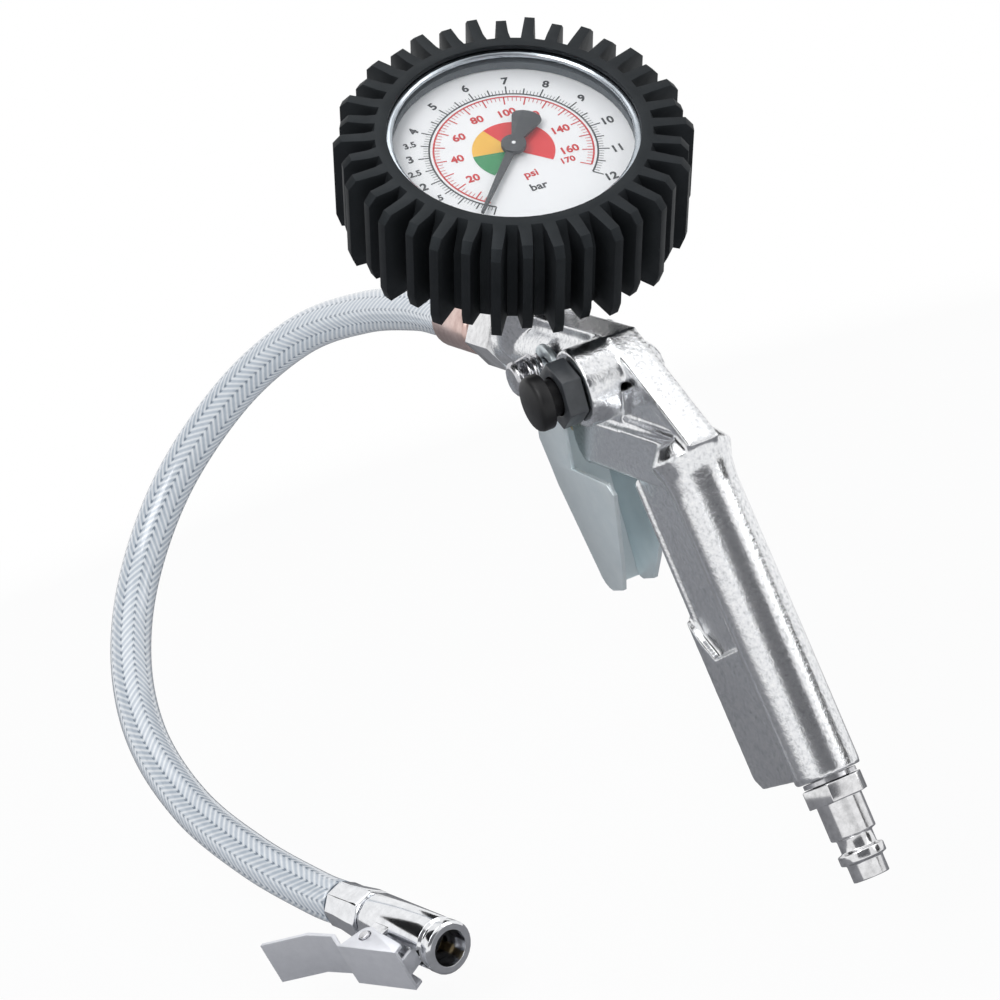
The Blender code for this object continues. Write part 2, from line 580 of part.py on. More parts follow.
# Gauge
def make_boot():
    lip_low = -0.6 * MM
    back = -BOOT_DEPTH
    builder = bmesh.new()
    loops = []
    share = ((0.0, False), (0.38, False), (0.46, True), (0.92, True))
    rim = BOOT_OPENING + 2.8 * MM
    for rib in range(RIB_COUNT):
        tip = RIB_TALL if rib % 2 == 0 else RIB_SHORT
        over = RIB_OVERHANG if rib % 2 == 0 else 0.4 * MM
        for part, on_rib in share:
            if on_rib:
                low = back - over
                face = ((rim + 2.4 * MM, 0.4 * MM), (tip - 2 * MM, 0.4 * MM), (tip, -2 * MM),
                        (tip, low + 4 * MM), (tip - 1.2 * MM, low), (BOOT_RADIUS - 1 * MM, low))
            else:
                face = ((rim + 1.2 * MM, -2.6 * MM), (BOOT_RADIUS - 1.2 * MM, -5.2 * MM), (BOOT_RADIUS, -8 * MM),
                        (BOOT_RADIUS, back + 4 * MM), (BOOT_RADIUS, back), (BOOT_RADIUS - 1 * MM, back))
            profile = ((BOOT_OPENING, lip_low), (BOOT_OPENING, 0.6 * MM), (rim, 0.6 * MM)) + face + (
                (BOOT_RADIUS - 2 * MM, back - 0.6 * MM), (CASE_RADIUS - 6 * MM, back - 0.6 * MM),
                (CASE_RADIUS - 6 * MM, -CASE_DEPTH - CLEAR), (CASE_RADIUS + CLEAR, -CASE_DEPTH - CLEAR),
                (CASE_RADIUS + CLEAR, lip_low))
            loop = []
            for r, z in profile:
                # a rib narrows towards its tip
                rise = max(0, (r - BOOT_RADIUS) / (tip - BOOT_RADIUS)) if on_rib else 0
                spot = RIB_MIDDLE + (part - RIB_MIDDLE) * (1 - RIB_TAPER * rise)
                angle = math.tau * (rib + spot) / RIB_COUNT
                loop.append(builder.verts.new((r * math.cos(angle), r * math.sin(angle), z)))
            loops.append(loop)
    for first, second in zip(loops, loops[1:] + loops[:1]):
        for step in range(len(first)):
            after = (step + 1) % len(first)
            builder.faces.new((first[step], first[after], second[after], second[step]))
    finish(add_object("gauge_boot", builder, GAUGE), RUBBER)


def make_gauge_shell():
    seat = -DIAL_TOP - DIAL_THICK - CLEAR
    neck = CASE_RADIUS - 1.4 * MM
    skirt = -9 * MM
    case = lathe("gauge_case", (
        (0, -CASE_DEPTH), (CASE_RADIUS, -CASE_DEPTH), (CASE_RADIUS, skirt - CLEAR), (neck, skirt - CLEAR),
        (neck, seat), (neck - CASE_WALL, seat), (neck - CASE_WALL, -CASE_DEPTH + CASE_WALL),
        (0, -CASE_DEPTH + CASE_WALL)), GAUGE, 48)
    hole = rod("hole", SOCKET_STEM + CLEAR, -CASE_DEPTH - 3 * MM, -CASE_DEPTH + 4 * MM, STEM)
    finish(cut(case, hole), STEEL)
    lens_seat = -LENS_TOP + CLEAR
    bezel = lathe("gauge_bezel", (
        (BEZEL_RING, lens_seat), (BEZEL_RING, -1.3 * MM), (BEZEL_RING + 0.6 * MM, -0.9 * MM),
        (CASE_RADIUS, -0.9 * MM), (CASE_RADIUS, skirt), (neck + CLEAR, skirt), (neck + CLEAR, lens_seat)), GAUGE, 48)
    finish(bezel, CHROME)
    lens_low = -LENS_TOP - LENS_THICK
    finish(rod("gauge_lens", neck, lens_low, -LENS_TOP, GAUGE, 48), GLASS)
    finish(ring("lens_gasket", BEZEL_RING + 0.3 * MM, neck, -DIAL_TOP + CLEAR, lens_low - CLEAR, GAUGE, 48), RUBBER)
    dial = rod("dial_plate", neck, -DIAL_TOP - DIAL_THICK, -DIAL_TOP, GAUGE, 48)
    finish(cut(dial, rod("hole", 1.5 * MM, -DIAL_TOP - 2 * MM, -DIAL_TOP + 2 * MM, GAUGE, SMALL_SIDES)), WHITE)


def make_pointer():
    low = -DIAL_TOP + 1.2 * MM
    thick = 0.8 * MM
    turn = GAUGE @ Matrix.Rotation(POINTER_ZERO, 4, "Z")
    lay_flat = Matrix.Rotation(math.pi / 2, 4, "X")
    outline = ((POINTER_REACH, 0.35 * MM), (1 * MM, 0.9 * MM), (-POINTER_TAIL, POINTER_TAIL_HALF),
               (-POINTER_TAIL - 2 * MM, 0), (-POINTER_TAIL, -POINTER_TAIL_HALF), (1 * MM, -0.9 * MM),
               (POINTER_REACH, -0.35 * MM))
    pointer = prism("pointer", outline, low, low + thick, turn @ lay_flat)
    hub = rod("hub", 3.1 * MM, low + 0.1 * MM, low + thick + 0.5 * MM, turn, SMALL_SIDES)
    set_origin(finish(joined(pointer, hub), BLACK), GAUGE.translation)
    shaft = lathe("pointer_shaft", (
        (0, -16.4 * MM), (0.9 * MM, -16.4 * MM), (0.9 * MM, -13.5 * MM), (PINION_RADIUS, -13.5 * MM),
        (PINION_RADIUS, -11.5 * MM), (0.9 * MM, -11.5 * MM), (0.9 * MM, low - CLEAR), (0, low - CLEAR)),
        GAUGE, SMALL_SIDES)
    set_origin(finish(shaft, BRASS), GAUGE.translation)
    print("pointer axis", tuple(GAUGE.translation), tuple(GAUGE.to_3x3() @ Vector((0, 0, 1))))


def make_movement():
    far = PINION_RADIUS + SECTOR_RADIUS + 0.2 * MM
    low_plate = block("movement_frame", (-9 * MM, -8 * MM, -17.7 * MM), (far + 3.5 * MM, 8 * MM, -16.7 * MM), GAUGE)
    top_plate = block("top_plate", (-9 * MM, -8 * MM, -9.5 * MM), (far + 3.5 * MM, 8 * MM, -8.5 * MM), GAUGE)
    pillars = []
    for side in (-6.5 * MM, 6.5 * MM):
        corner = GAUGE @ Matrix.Translation((-7.5 * MM, side, 0))
        pillars.append(rod("pillar", 1.2 * MM, -17 * MM, -9 * MM, corner, SMALL_SIDES))
    frame = joined(low_plate, top_plate, *pillars)
    at_sector = GAUGE @ Matrix.Translation((far, 0, 0))
    cut(frame, rod("shaft_hole", 1.3 * MM, -10.5 * MM, -7.5 * MM, GAUGE, SMALL_SIDES))
    finish(frame, BRASS)
    lay_flat = Matrix.Rotation(math.pi / 2, 4, "X")
    middle, spread = 203, 29
    outline = arc((0, 0), SECTOR_RADIUS, middle - spread, middle + spread, 14)
    outline += [(0, -2 * MM), (4 * MM, -1 * MM), (4 * MM, 1 * MM), (0, 2 * MM)]
    sector = prism("sector_gear", outline, -13 * MM, -12 * MM, at_sector @ lay_flat)
    arbor = rod("arbor", 1 * MM, -16.4 * MM, -9.8 * MM, at_sector, SMALL_SIDES)
    place_of_sector = at_sector.translation
    set_origin(finish(joined(sector, arbor), BRASS), place_of_sector)
    print("sector axis", tuple(place_of_sector))
    start = math.pi
    sweep = math.radians(255)
    points = []
    steps = 26
    for step in range(steps + 1):
        angle = start + sweep * step / steps
        points.append(GAUGE @ Vector((TUBE_ARC * math.cos(angle), TUBE_ARC * math.sin(angle), -15.4 * MM)))
    tube("bourdon_tube", points, 2 * MM, BRASS, 2)
    tip = start + sweep
    tip_turn = GAUGE @ Matrix.Rotation(tip, 4, "Z")
    cap = block("tip_link", (TUBE_ARC - 2.6 * MM, CLEAR, -17.8 * MM), (TUBE_ARC + 2.4 * MM, 4 * MM, -10.2 * MM), tip_turn)
    over = block("over", (TUBE_ARC - 2.6 * MM, -2 * MM, -13 * MM), (TUBE_ARC + 2.4 * MM, 3 * MM, -10.2 * MM), tip_turn)
    tail = Vector((far + 3 * MM, 0, 0))
    top = Vector((TUBE_ARC * math.cos(tip), TUBE_ARC * math.sin(tip), 0))
    across = (tail - top)
    bar_turn = GAUGE @ frame_of(top, across, Vector((0, 0, 1)))
    bar = block("bar", (0, -0.9 * MM, -11.2 * MM), (across.length, 0.9 * MM, -10.4 * MM), bar_turn)
    finish(joined(cap, over, bar), BRASS)


def make_socket():
    body = block("gauge_socket", (-TUBE_ARC - 2.5 * MM, -4 * MM, -CASE_DEPTH + CASE_WALL + CLEAR),
                 (-STEM_OFFSET + 6 * MM, 4 * MM, -18 * MM), GAUGE)
    stem = rod("stem", SOCKET_STEM, -36 * MM, -20 * MM, STEM)
    nut = hexagon("nut", SOCKET_HEX, -42 * MM, -30 * MM, STEM)
    thread = rod("thread", THREAD_RADIUS, -GAUGE_BOSS_TOP - 9 * MM, -41 * MM, STEM)
    finish(joined(body, stem, nut, thread), BRASS)
    finish(ring("gauge_seal", THREAD_RADIUS + CLEAR, SOCKET_HEX / 2 - 0.3 * MM, -GAUGE_BOSS_TOP + CLEAR,
                -42 * MM - CLEAR, STEM), RUBBER)


# Hose with its front fitting
def smooth_route(anchors, spacing):
    points = []
    padded = [2 * anchors[0] - anchors[1]] + anchors + [2 * anchors[-1] - anchors[-2]]
    for before, start, end, after in zip(padded, padded[1:], padded[2:], padded[3:]):
        steps = max(1, round((end - start).length / spacing))
        for step in range(steps):
            t = step / steps
            points.append(0.5 * ((2 * start) + (end - before) * t
                                 + (2 * before - 5 * start + 4 * end - after) * t * t
                                 + (3 * start - before - 3 * end + after) * t ** 3))
    points.append(anchors[-1])
    return points


def make_hose():
    hex_low = BARREL_FRONT + CLEAR
    hex_high = hex_low + FITTING_HEX_LENGTH
    neck_end = hex_high + 4 * MM
    fitting = hexagon("hose_fitting", FITTING_HEX, hex_low, hex_high, BARREL)
    joined(fitting, rod("thread", THREAD_RADIUS, BARREL_FRONT - 8 * MM, hex_low + 1 * MM, BARREL),
           rod("neck", FERRULE_RADIUS - 2 * MM, hex_high - 1 * MM, neck_end, BARREL))
    finish(fitting, CHROME)
    ferrule_low = neck_end + CLEAR
    ferrule_high = ferrule_low + FERRULE_LENGTH
    finish(lathe("hose_ferrule", (
        (0, ferrule_low), (FERRULE_RADIUS - 1 * MM, ferrule_low), (FERRULE_RADIUS, ferrule_low + 1 * MM),
        (FERRULE_RADIUS, ferrule_high - 1 * MM), (FERRULE_RADIUS - 0.6 * MM, ferrule_high), (0, ferrule_high)),
        BARREL), COPPER)
    exit_point = Vector((ferrule_high + CLEAR, 0, BARREL_HEIGHT))
    straight = Vector((2 * HOSE_RADIUS, 0, 0))
    end_point = CHUCK @ Vector((-CLEAR, 0, 0))
    end_straight = CHUCK @ Vector((-CLEAR - 2 * HOSE_RADIUS, 0, 0))
    anchors = [exit_point, exit_point + straight] + [Vector(point) * MM for point in HOSE_ROUTE]
    anchors += [end_straight, end_point]
    points = smooth_route(anchors, 4 * HOSE_RADIUS / 2)
    length = sum((second - first).length for first, second in zip(points, points[1:]))
    print("hose length, mm:", round(length / MM, 1), "points", len(points), "exit", tuple(exit_point))
    tube("hose", points, HOSE_RADIUS, HOSE, 4)


# Clip-on chuck
def make_chuck():
    axis = CHUCK @ ALONG_X
    eighth = math.pi / 8
    scale = 1 / math.cos(eighth) / 2
    finish(lathe("chuck_ferrule", (
        (0, 0), (CRIMP_SMALL * scale, 0), (CRIMP_SMALL * scale, CRIMP * 0.3), (CRIMP_LARGE * scale, CRIMP * 0.75),
        (CRIMP_LARGE * scale, CRIMP), (0, CRIMP)), axis, 8, eighth), CHROME)
    low = CRIMP + CLEAR
    high = low + CHUCK_LENGTH
    body = lathe("chuck_body", (
        (0, low), (CHUCK_RADIUS - 1 * MM, low), (CHUCK_RADIUS, low + 2 * MM), (CHUCK_RADIUS, high - 5 * MM),
        (CHUCK_RADIUS - 0.8 * MM, high - 4.4 * MM), (CHUCK_RADIUS - 0.8 * MM, high - 3.4 * MM),
        (CHUCK_RADIUS + 0.1 * MM, high - 2.8 * MM), (CHUCK_RADIUS + 0.1 * MM, high - 0.6 * MM),
        (CHUCK_RADIUS - 0.6 * MM, high), (0, high)), axis)
    lugs = []
    for side in (-1, 1):
        inner = side * (LEVER_HALF - LEVER_SHEET - 2.2 * MM)
        outer = side * (LEVER_HALF - LEVER_SHEET - CLEAR)
        lug = [(LEVER_PIN_X - 3 * MM, -2 * MM)] + arc((LEVER_PIN_X, LEVER_PIN_Z), 2.8 * MM, 180, 360, 6)
        lug += [(LEVER_PIN_X + 3 * MM, -2 * MM)]
        lugs.append(prism("lug", lug, min(inner, outer), max(inner, outer), CHUCK))
    joined(body, *lugs)
    pin_axis = CHUCK @ place((LEVER_PIN_X, 0, LEVER_PIN_Z), ALONG_Y)
    cut(body, rod("mouth", MOUTH_RADIUS, high - MOUTH_DEPTH, high + 5 * MM, axis),
        rod("pin_hole", 1.5 * MM + CLEAR, -10 * MM, 10 * MM, pin_axis, SMALL_SIDES),
        block("claw_slot", (CLAW_X - 2.2 * MM, -3.2 * MM, -12 * MM), (CLAW_X + 3.4 * MM, 3.2 * MM, -3 * MM), CHUCK))
    finish(body, CHROME)
    seat = high - MOUTH_DEPTH
    finish(ring("chuck_seal", 2 * MM, MOUTH_RADIUS - CLEAR, seat + CLEAR, seat + 3.4 * MM, axis), RUBBER)
    finish(lathe("chuck_core_pin", (
        (0, seat + CLEAR), (1.6 * MM, seat + CLEAR), (1.6 * MM, seat + 2 * MM), (1 * MM, seat + 3 * MM),
        (1 * MM, seat + 7 * MM), (0, seat + 7 * MM)), axis, SMALL_SIDES), BRASS)
    pin = rod("chuck_lever_pin", 1.5 * MM, -LEVER_HALF - 0.6 * MM, LEVER_HALF + 0.6 * MM, pin_axis, SMALL_SIDES)
    finish(pin, STEEL)
    make_lever(high, pin_axis)
    coil_half = LEVER_HALF - LEVER_SHEET - 2.2 * MM - CLEAR
    finish(coil("chuck_spring", 2.3 * MM, 0.7 * MM, -coil_half, coil_half, 5, pin_axis), STEEL)
    print("chuck frame", CHUCK)
    print("chuck mouth", tuple(CHUCK @ Vector((high, 0, 0))), "lever pin", tuple(pin_axis.translation))


def make_lever(high, pin_axis):
    low = LEVER_PLATE_Z
    sheet = LEVER_SHEET
    front = LEVER_FRONT
    crank = LEVER_PIN_X - 10 * MM
    bend = crank - 9 * MM
    strip = [(front, low), (front, low + sheet), (crank + 4 * MM, low + sheet), (crank, low + 4 * MM),
             (bend, low + 3.5 * MM), (-TAB_END, low - TAB_DROP + sheet), (-TAB_END, low - TAB_DROP),
             (bend, low + 2.4 * MM), (crank - 0.6 * MM, low + 2.9 * MM), (crank + 3.6 * MM, low)]
    pin = Matrix.Translation((LEVER_PIN_X, 0, LEVER_PIN_Z))
    leaning = CHUCK @ pin @ Matrix.Rotation(-LEVER_LEAN, 4, "Y") @ pin.inverted()
    lever = prism("chuck_lever", strip, -LEVER_HALF, LEVER_HALF, leaning)
    cheek = [(crank + 4 * MM, low + 0.2 * MM), (front, low + 0.2 * MM), (front, low + 3 * MM),
             (LEVER_PIN_X + 8 * MM, low + 5 * MM)]
    cheek += arc((LEVER_PIN_X, LEVER_PIN_Z), 3.2 * MM, 40, 160, 6)
    cheeks = [prism("cheek", cheek, -LEVER_HALF, -LEVER_HALF + sheet, leaning),
              prism("cheek", cheek, LEVER_HALF - sheet, LEVER_HALF, leaning)]
    claw_x = CLAW_X
    reach = (claw_x - LEVER_PIN_X) * math.sin(LEVER_LEAN)
    claw_top = LEVER_PIN_Z + (-CLAW_TIP - LEVER_PIN_Z - reach) / math.cos(LEVER_LEAN)
    claw = block("claw", (claw_x, -2.6 * MM, low + 0.2 * MM), (claw_x + sheet, 2.6 * MM, claw_top), leaning)
    joined(lever, *cheeks, claw)
    cut(lever, rod("hole", 1.5 * MM + CLEAR, -10 * MM, 10 * MM, pin_axis, SMALL_SIDES))
    set_origin(finish(lever, CHROME), pin_axis.translation)


make_casting()
make_inlet()
make_bleed()
make_trigger()
make_pivot()
make_valve()
make_boot()
make_gauge_shell()
make_pointer()
make_movement()
make_socket()
make_hose()
make_chuck()
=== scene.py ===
import json
import math

import bmesh
import bpy
from mathutils import Matrix, Vector

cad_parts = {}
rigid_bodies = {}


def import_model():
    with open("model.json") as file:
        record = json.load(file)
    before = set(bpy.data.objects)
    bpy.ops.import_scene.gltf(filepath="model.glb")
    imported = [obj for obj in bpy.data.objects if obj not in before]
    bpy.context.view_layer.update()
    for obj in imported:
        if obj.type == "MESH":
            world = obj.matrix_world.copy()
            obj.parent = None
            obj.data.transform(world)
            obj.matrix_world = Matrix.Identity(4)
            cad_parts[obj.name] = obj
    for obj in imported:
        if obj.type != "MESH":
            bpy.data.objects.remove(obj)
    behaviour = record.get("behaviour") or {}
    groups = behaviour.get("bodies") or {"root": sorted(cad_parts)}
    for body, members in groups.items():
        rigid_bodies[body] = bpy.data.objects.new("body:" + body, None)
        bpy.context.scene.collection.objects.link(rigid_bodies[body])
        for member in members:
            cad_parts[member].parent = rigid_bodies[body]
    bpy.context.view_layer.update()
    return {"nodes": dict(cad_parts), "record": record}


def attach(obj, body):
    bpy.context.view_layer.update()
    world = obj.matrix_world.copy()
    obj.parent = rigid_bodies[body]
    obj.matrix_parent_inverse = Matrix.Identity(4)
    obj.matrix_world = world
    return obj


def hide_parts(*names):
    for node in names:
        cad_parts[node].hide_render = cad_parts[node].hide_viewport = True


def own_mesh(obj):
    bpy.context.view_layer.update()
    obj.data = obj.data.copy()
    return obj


for stray in list(bpy.data.objects):
    bpy.data.objects.remove(stray, do_unlink=True)
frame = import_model()
bpy.ops.object.select_all(action="DESELECT")
scene = bpy.context.scene
scene.view_settings.view_transform = "Standard"
mm = 0.001
print("frame loaded,", len(frame["nodes"]), "nodes")

# camera at the angle of the photograph
cameraView = {
    "position": (-0.6716, 0.2794, 0.2489),
    "right": (-0.378, -0.887, -0.265),
    "back": (-0.912, 0.307, 0.273),
    "lens": 118.8, "near": 0.01,
}


def addCamera(look):
    bpy.ops.object.camera_add(location=look["position"])
    camera = bpy.context.object
    camera.name = "photoCamera"
    back = Vector(look["back"]).normalized()
    up = back.cross(Vector(look["right"])).normalized()
    right = up.cross(back)
    camera.rotation_euler = Matrix((right, up, back)).transposed().to_euler()
    camera.data.lens = look["lens"]
    camera.data.clip_start = look["near"]
    camera.select_set(False)
    scene.camera = camera


addCamera(cameraView)
print("camera placed")

# frame of the gauge, as on the solids: the dial looks along its Z
gaugePlace = {"face": (71 * mm, 0, 112.5 * mm), "tilt": 35}
gaugeTurn = Matrix.Rotation(math.radians(-gaugePlace["tilt"]), 4, "Y")
gaugeFrame = Matrix.Translation(gaugePlace["face"]) @ gaugeTurn


# small helpers for objects
def activate(piece):
    bpy.ops.object.select_all(action="DESELECT")
    piece.select_set(True)
    bpy.context.view_layer.objects.active = piece


def newObject(name, builder):
    mesh = bpy.data.meshes.new(name)
    builder.to_mesh(mesh)
    builder.free()
    made = bpy.data.objects.new(name, mesh)
    scene.collection.objects.link(made)
    return made


def applyModifier(piece, kind, **settings):
    modifier = piece.modifiers.new(kind.lower(), kind)
    for setting, value in settings.items():
        setattr(modifier, setting, value)
    bpy.ops.object.modifier_apply(modifier=modifier.name)


# small helpers for node trees
def setSockets(node, sockets):
    for socket, value in sockets.items():
        node.inputs[socket.replace("_", " ")].default_value = value


def newMaterial(name, **sockets):
    material = bpy.data.materials.new(name)
    material.use_nodes = True
    tree = material.node_tree
    shader = tree.nodes["Principled BSDF"]
    setSockets(shader, sockets)
    return material, tree, shader


def addNode(tree, kind, x, y, **sockets):
    node = tree.nodes.new(kind)
    node.location = (x, y)
    setSockets(node, sockets)
    return node


def wire(tree, fromSocket, toSocket):
    tree.links.new(fromSocket, toSocket)


def mathNode(tree, operation, first, second, x, y):
    node = addNode(tree, "ShaderNodeMath", x, y)
    node.operation = operation
    for place, value in enumerate((first, second)):
        if isinstance(value, (int, float)):
            node.inputs[place].default_value = value
        elif value is not None:
            wire(tree, value, node.inputs[place])
    return node.outputs[0]


def rampNode(tree, value, stops, x, y):
    ramp = addNode(tree, "ShaderNodeValToRGB", x, y)
    wire(tree, value, ramp.inputs["Fac"])
    edges = ramp.color_ramp.elements
    while len(edges) < len(stops):
        edges.new(0.5)
    for edge, (place, colour) in zip(edges, stops):
        edge.position = place
        edge.color = (*colour, 1)
    return ramp.outputs["Color"]


def rangeNode(tree, value, low, high, x, y):
    node = addNode(tree, "ShaderNodeMapRange", x, y, To_Min=low, To_Max=high)
    wire(tree, value, node.inputs["Value"])
    return node.outputs["Result"]


def addBump(tree, shader, height, strength, depth):
    bump = addNode(tree, "ShaderNodeBump", -300, -300, Strength=strength, Distance=depth)
    wire(tree, height, bump.inputs["Height"])
    wire(tree, bump.outputs["Normal"], shader.inputs["Normal"])
    return bump


# blotches and fine marks that several finishes share
blotchLook = {"rough": 0.62, "grainSize": 2600, "grainDetail": 2}


def makeBlotchGroup(look):
    group = bpy.data.node_groups.new("surfaceBlotch", "ShaderNodeTree")
    for name, way in (("Size", "INPUT"), ("Detail", "INPUT"), ("Blotch", "OUTPUT"), ("Grain", "OUTPUT")):
        group.interface.new_socket(name, in_out=way, socket_type="NodeSocketFloat")
    inside = addNode(group, "NodeGroupInput", -600, 0)
    outside = addNode(group, "NodeGroupOutput", 200, 0)
    coords = addNode(group, "ShaderNodeTexCoord", -600, 300)
    noise = addNode(group, "ShaderNodeTexNoise", -200, 200, Roughness=look["rough"])
    wire(group, coords.outputs["Object"], noise.inputs["Vector"])
    wire(group, inside.outputs["Size"], noise.inputs["Scale"])
    wire(group, inside.outputs["Detail"], noise.inputs["Detail"])
    grain = addNode(group, "ShaderNodeTexNoise", -200, -200, Scale=look["grainSize"],
                    Detail=look["grainDetail"])
    wire(group, coords.outputs["Object"], grain.inputs["Vector"])
    wire(group, noise.outputs["Fac"], outside.inputs["Blotch"])
    wire(group, grain.outputs["Fac"], outside.inputs["Grain"])
    return group


blotchGroup = makeBlotchGroup(blotchLook)


def placeBlotch(tree, size, detail):
    node = addNode(tree, "ShaderNodeGroup", -1100, 0)
    node.node_tree = blotchGroup
    setSockets(node, {"Size": size, "Detail": detail})
    return node.outputs["Blotch"], node.outputs["Grain"]


def paint(tree, shader, blotch, look):
    wire(tree, rampNode(tree, blotch, look["tones"], -700, 200), shader.inputs["Base Color"])
    wire(tree, rangeNode(tree, blotch, *look["rough"], -700, -100), shader.inputs["Roughness"])


metalBase = {"metal": 1.0, "grain": 0.1, "detail": 5, "bumpDepth": 0.1 * mm}
dullBase = {"coat": 0, "coatRough": 0.2, "shine": 0.5, "tint": (1, 1, 1), "detail": 6, "bumpDepth": 0.1 * mm}


def metalFinish(name, look):
    look = metalBase | look
    material, tree, shader = newMaterial(name, Metallic=look["metal"])
    blotch, grain = placeBlotch(tree, look["blotchSize"], look["detail"])
    paint(tree, shader, blotch, look)
    fine = mathNode(tree, "MULTIPLY", grain, look["grain"], -700, -400)
    addBump(tree, shader, mathNode(tree, "ADD", blotch, fine, -500, -400), look["bump"], look["bumpDepth"])
    return material


def dullFinish(name, look):
    look = dullBase | look
    material, tree, shader = newMaterial(
        name, Coat_Weight=look["coat"], Coat_Roughness=look["coatRough"],
        Specular_IOR_Level=look["shine"], Specular_Tint=(*look["tint"], 1))
    blotch, grain = placeBlotch(tree, look["blotchSize"], look["detail"])
    paint(tree, shader, blotch, look)
    addBump(tree, shader, grain, look["bump"], look["bumpDepth"])
    return material


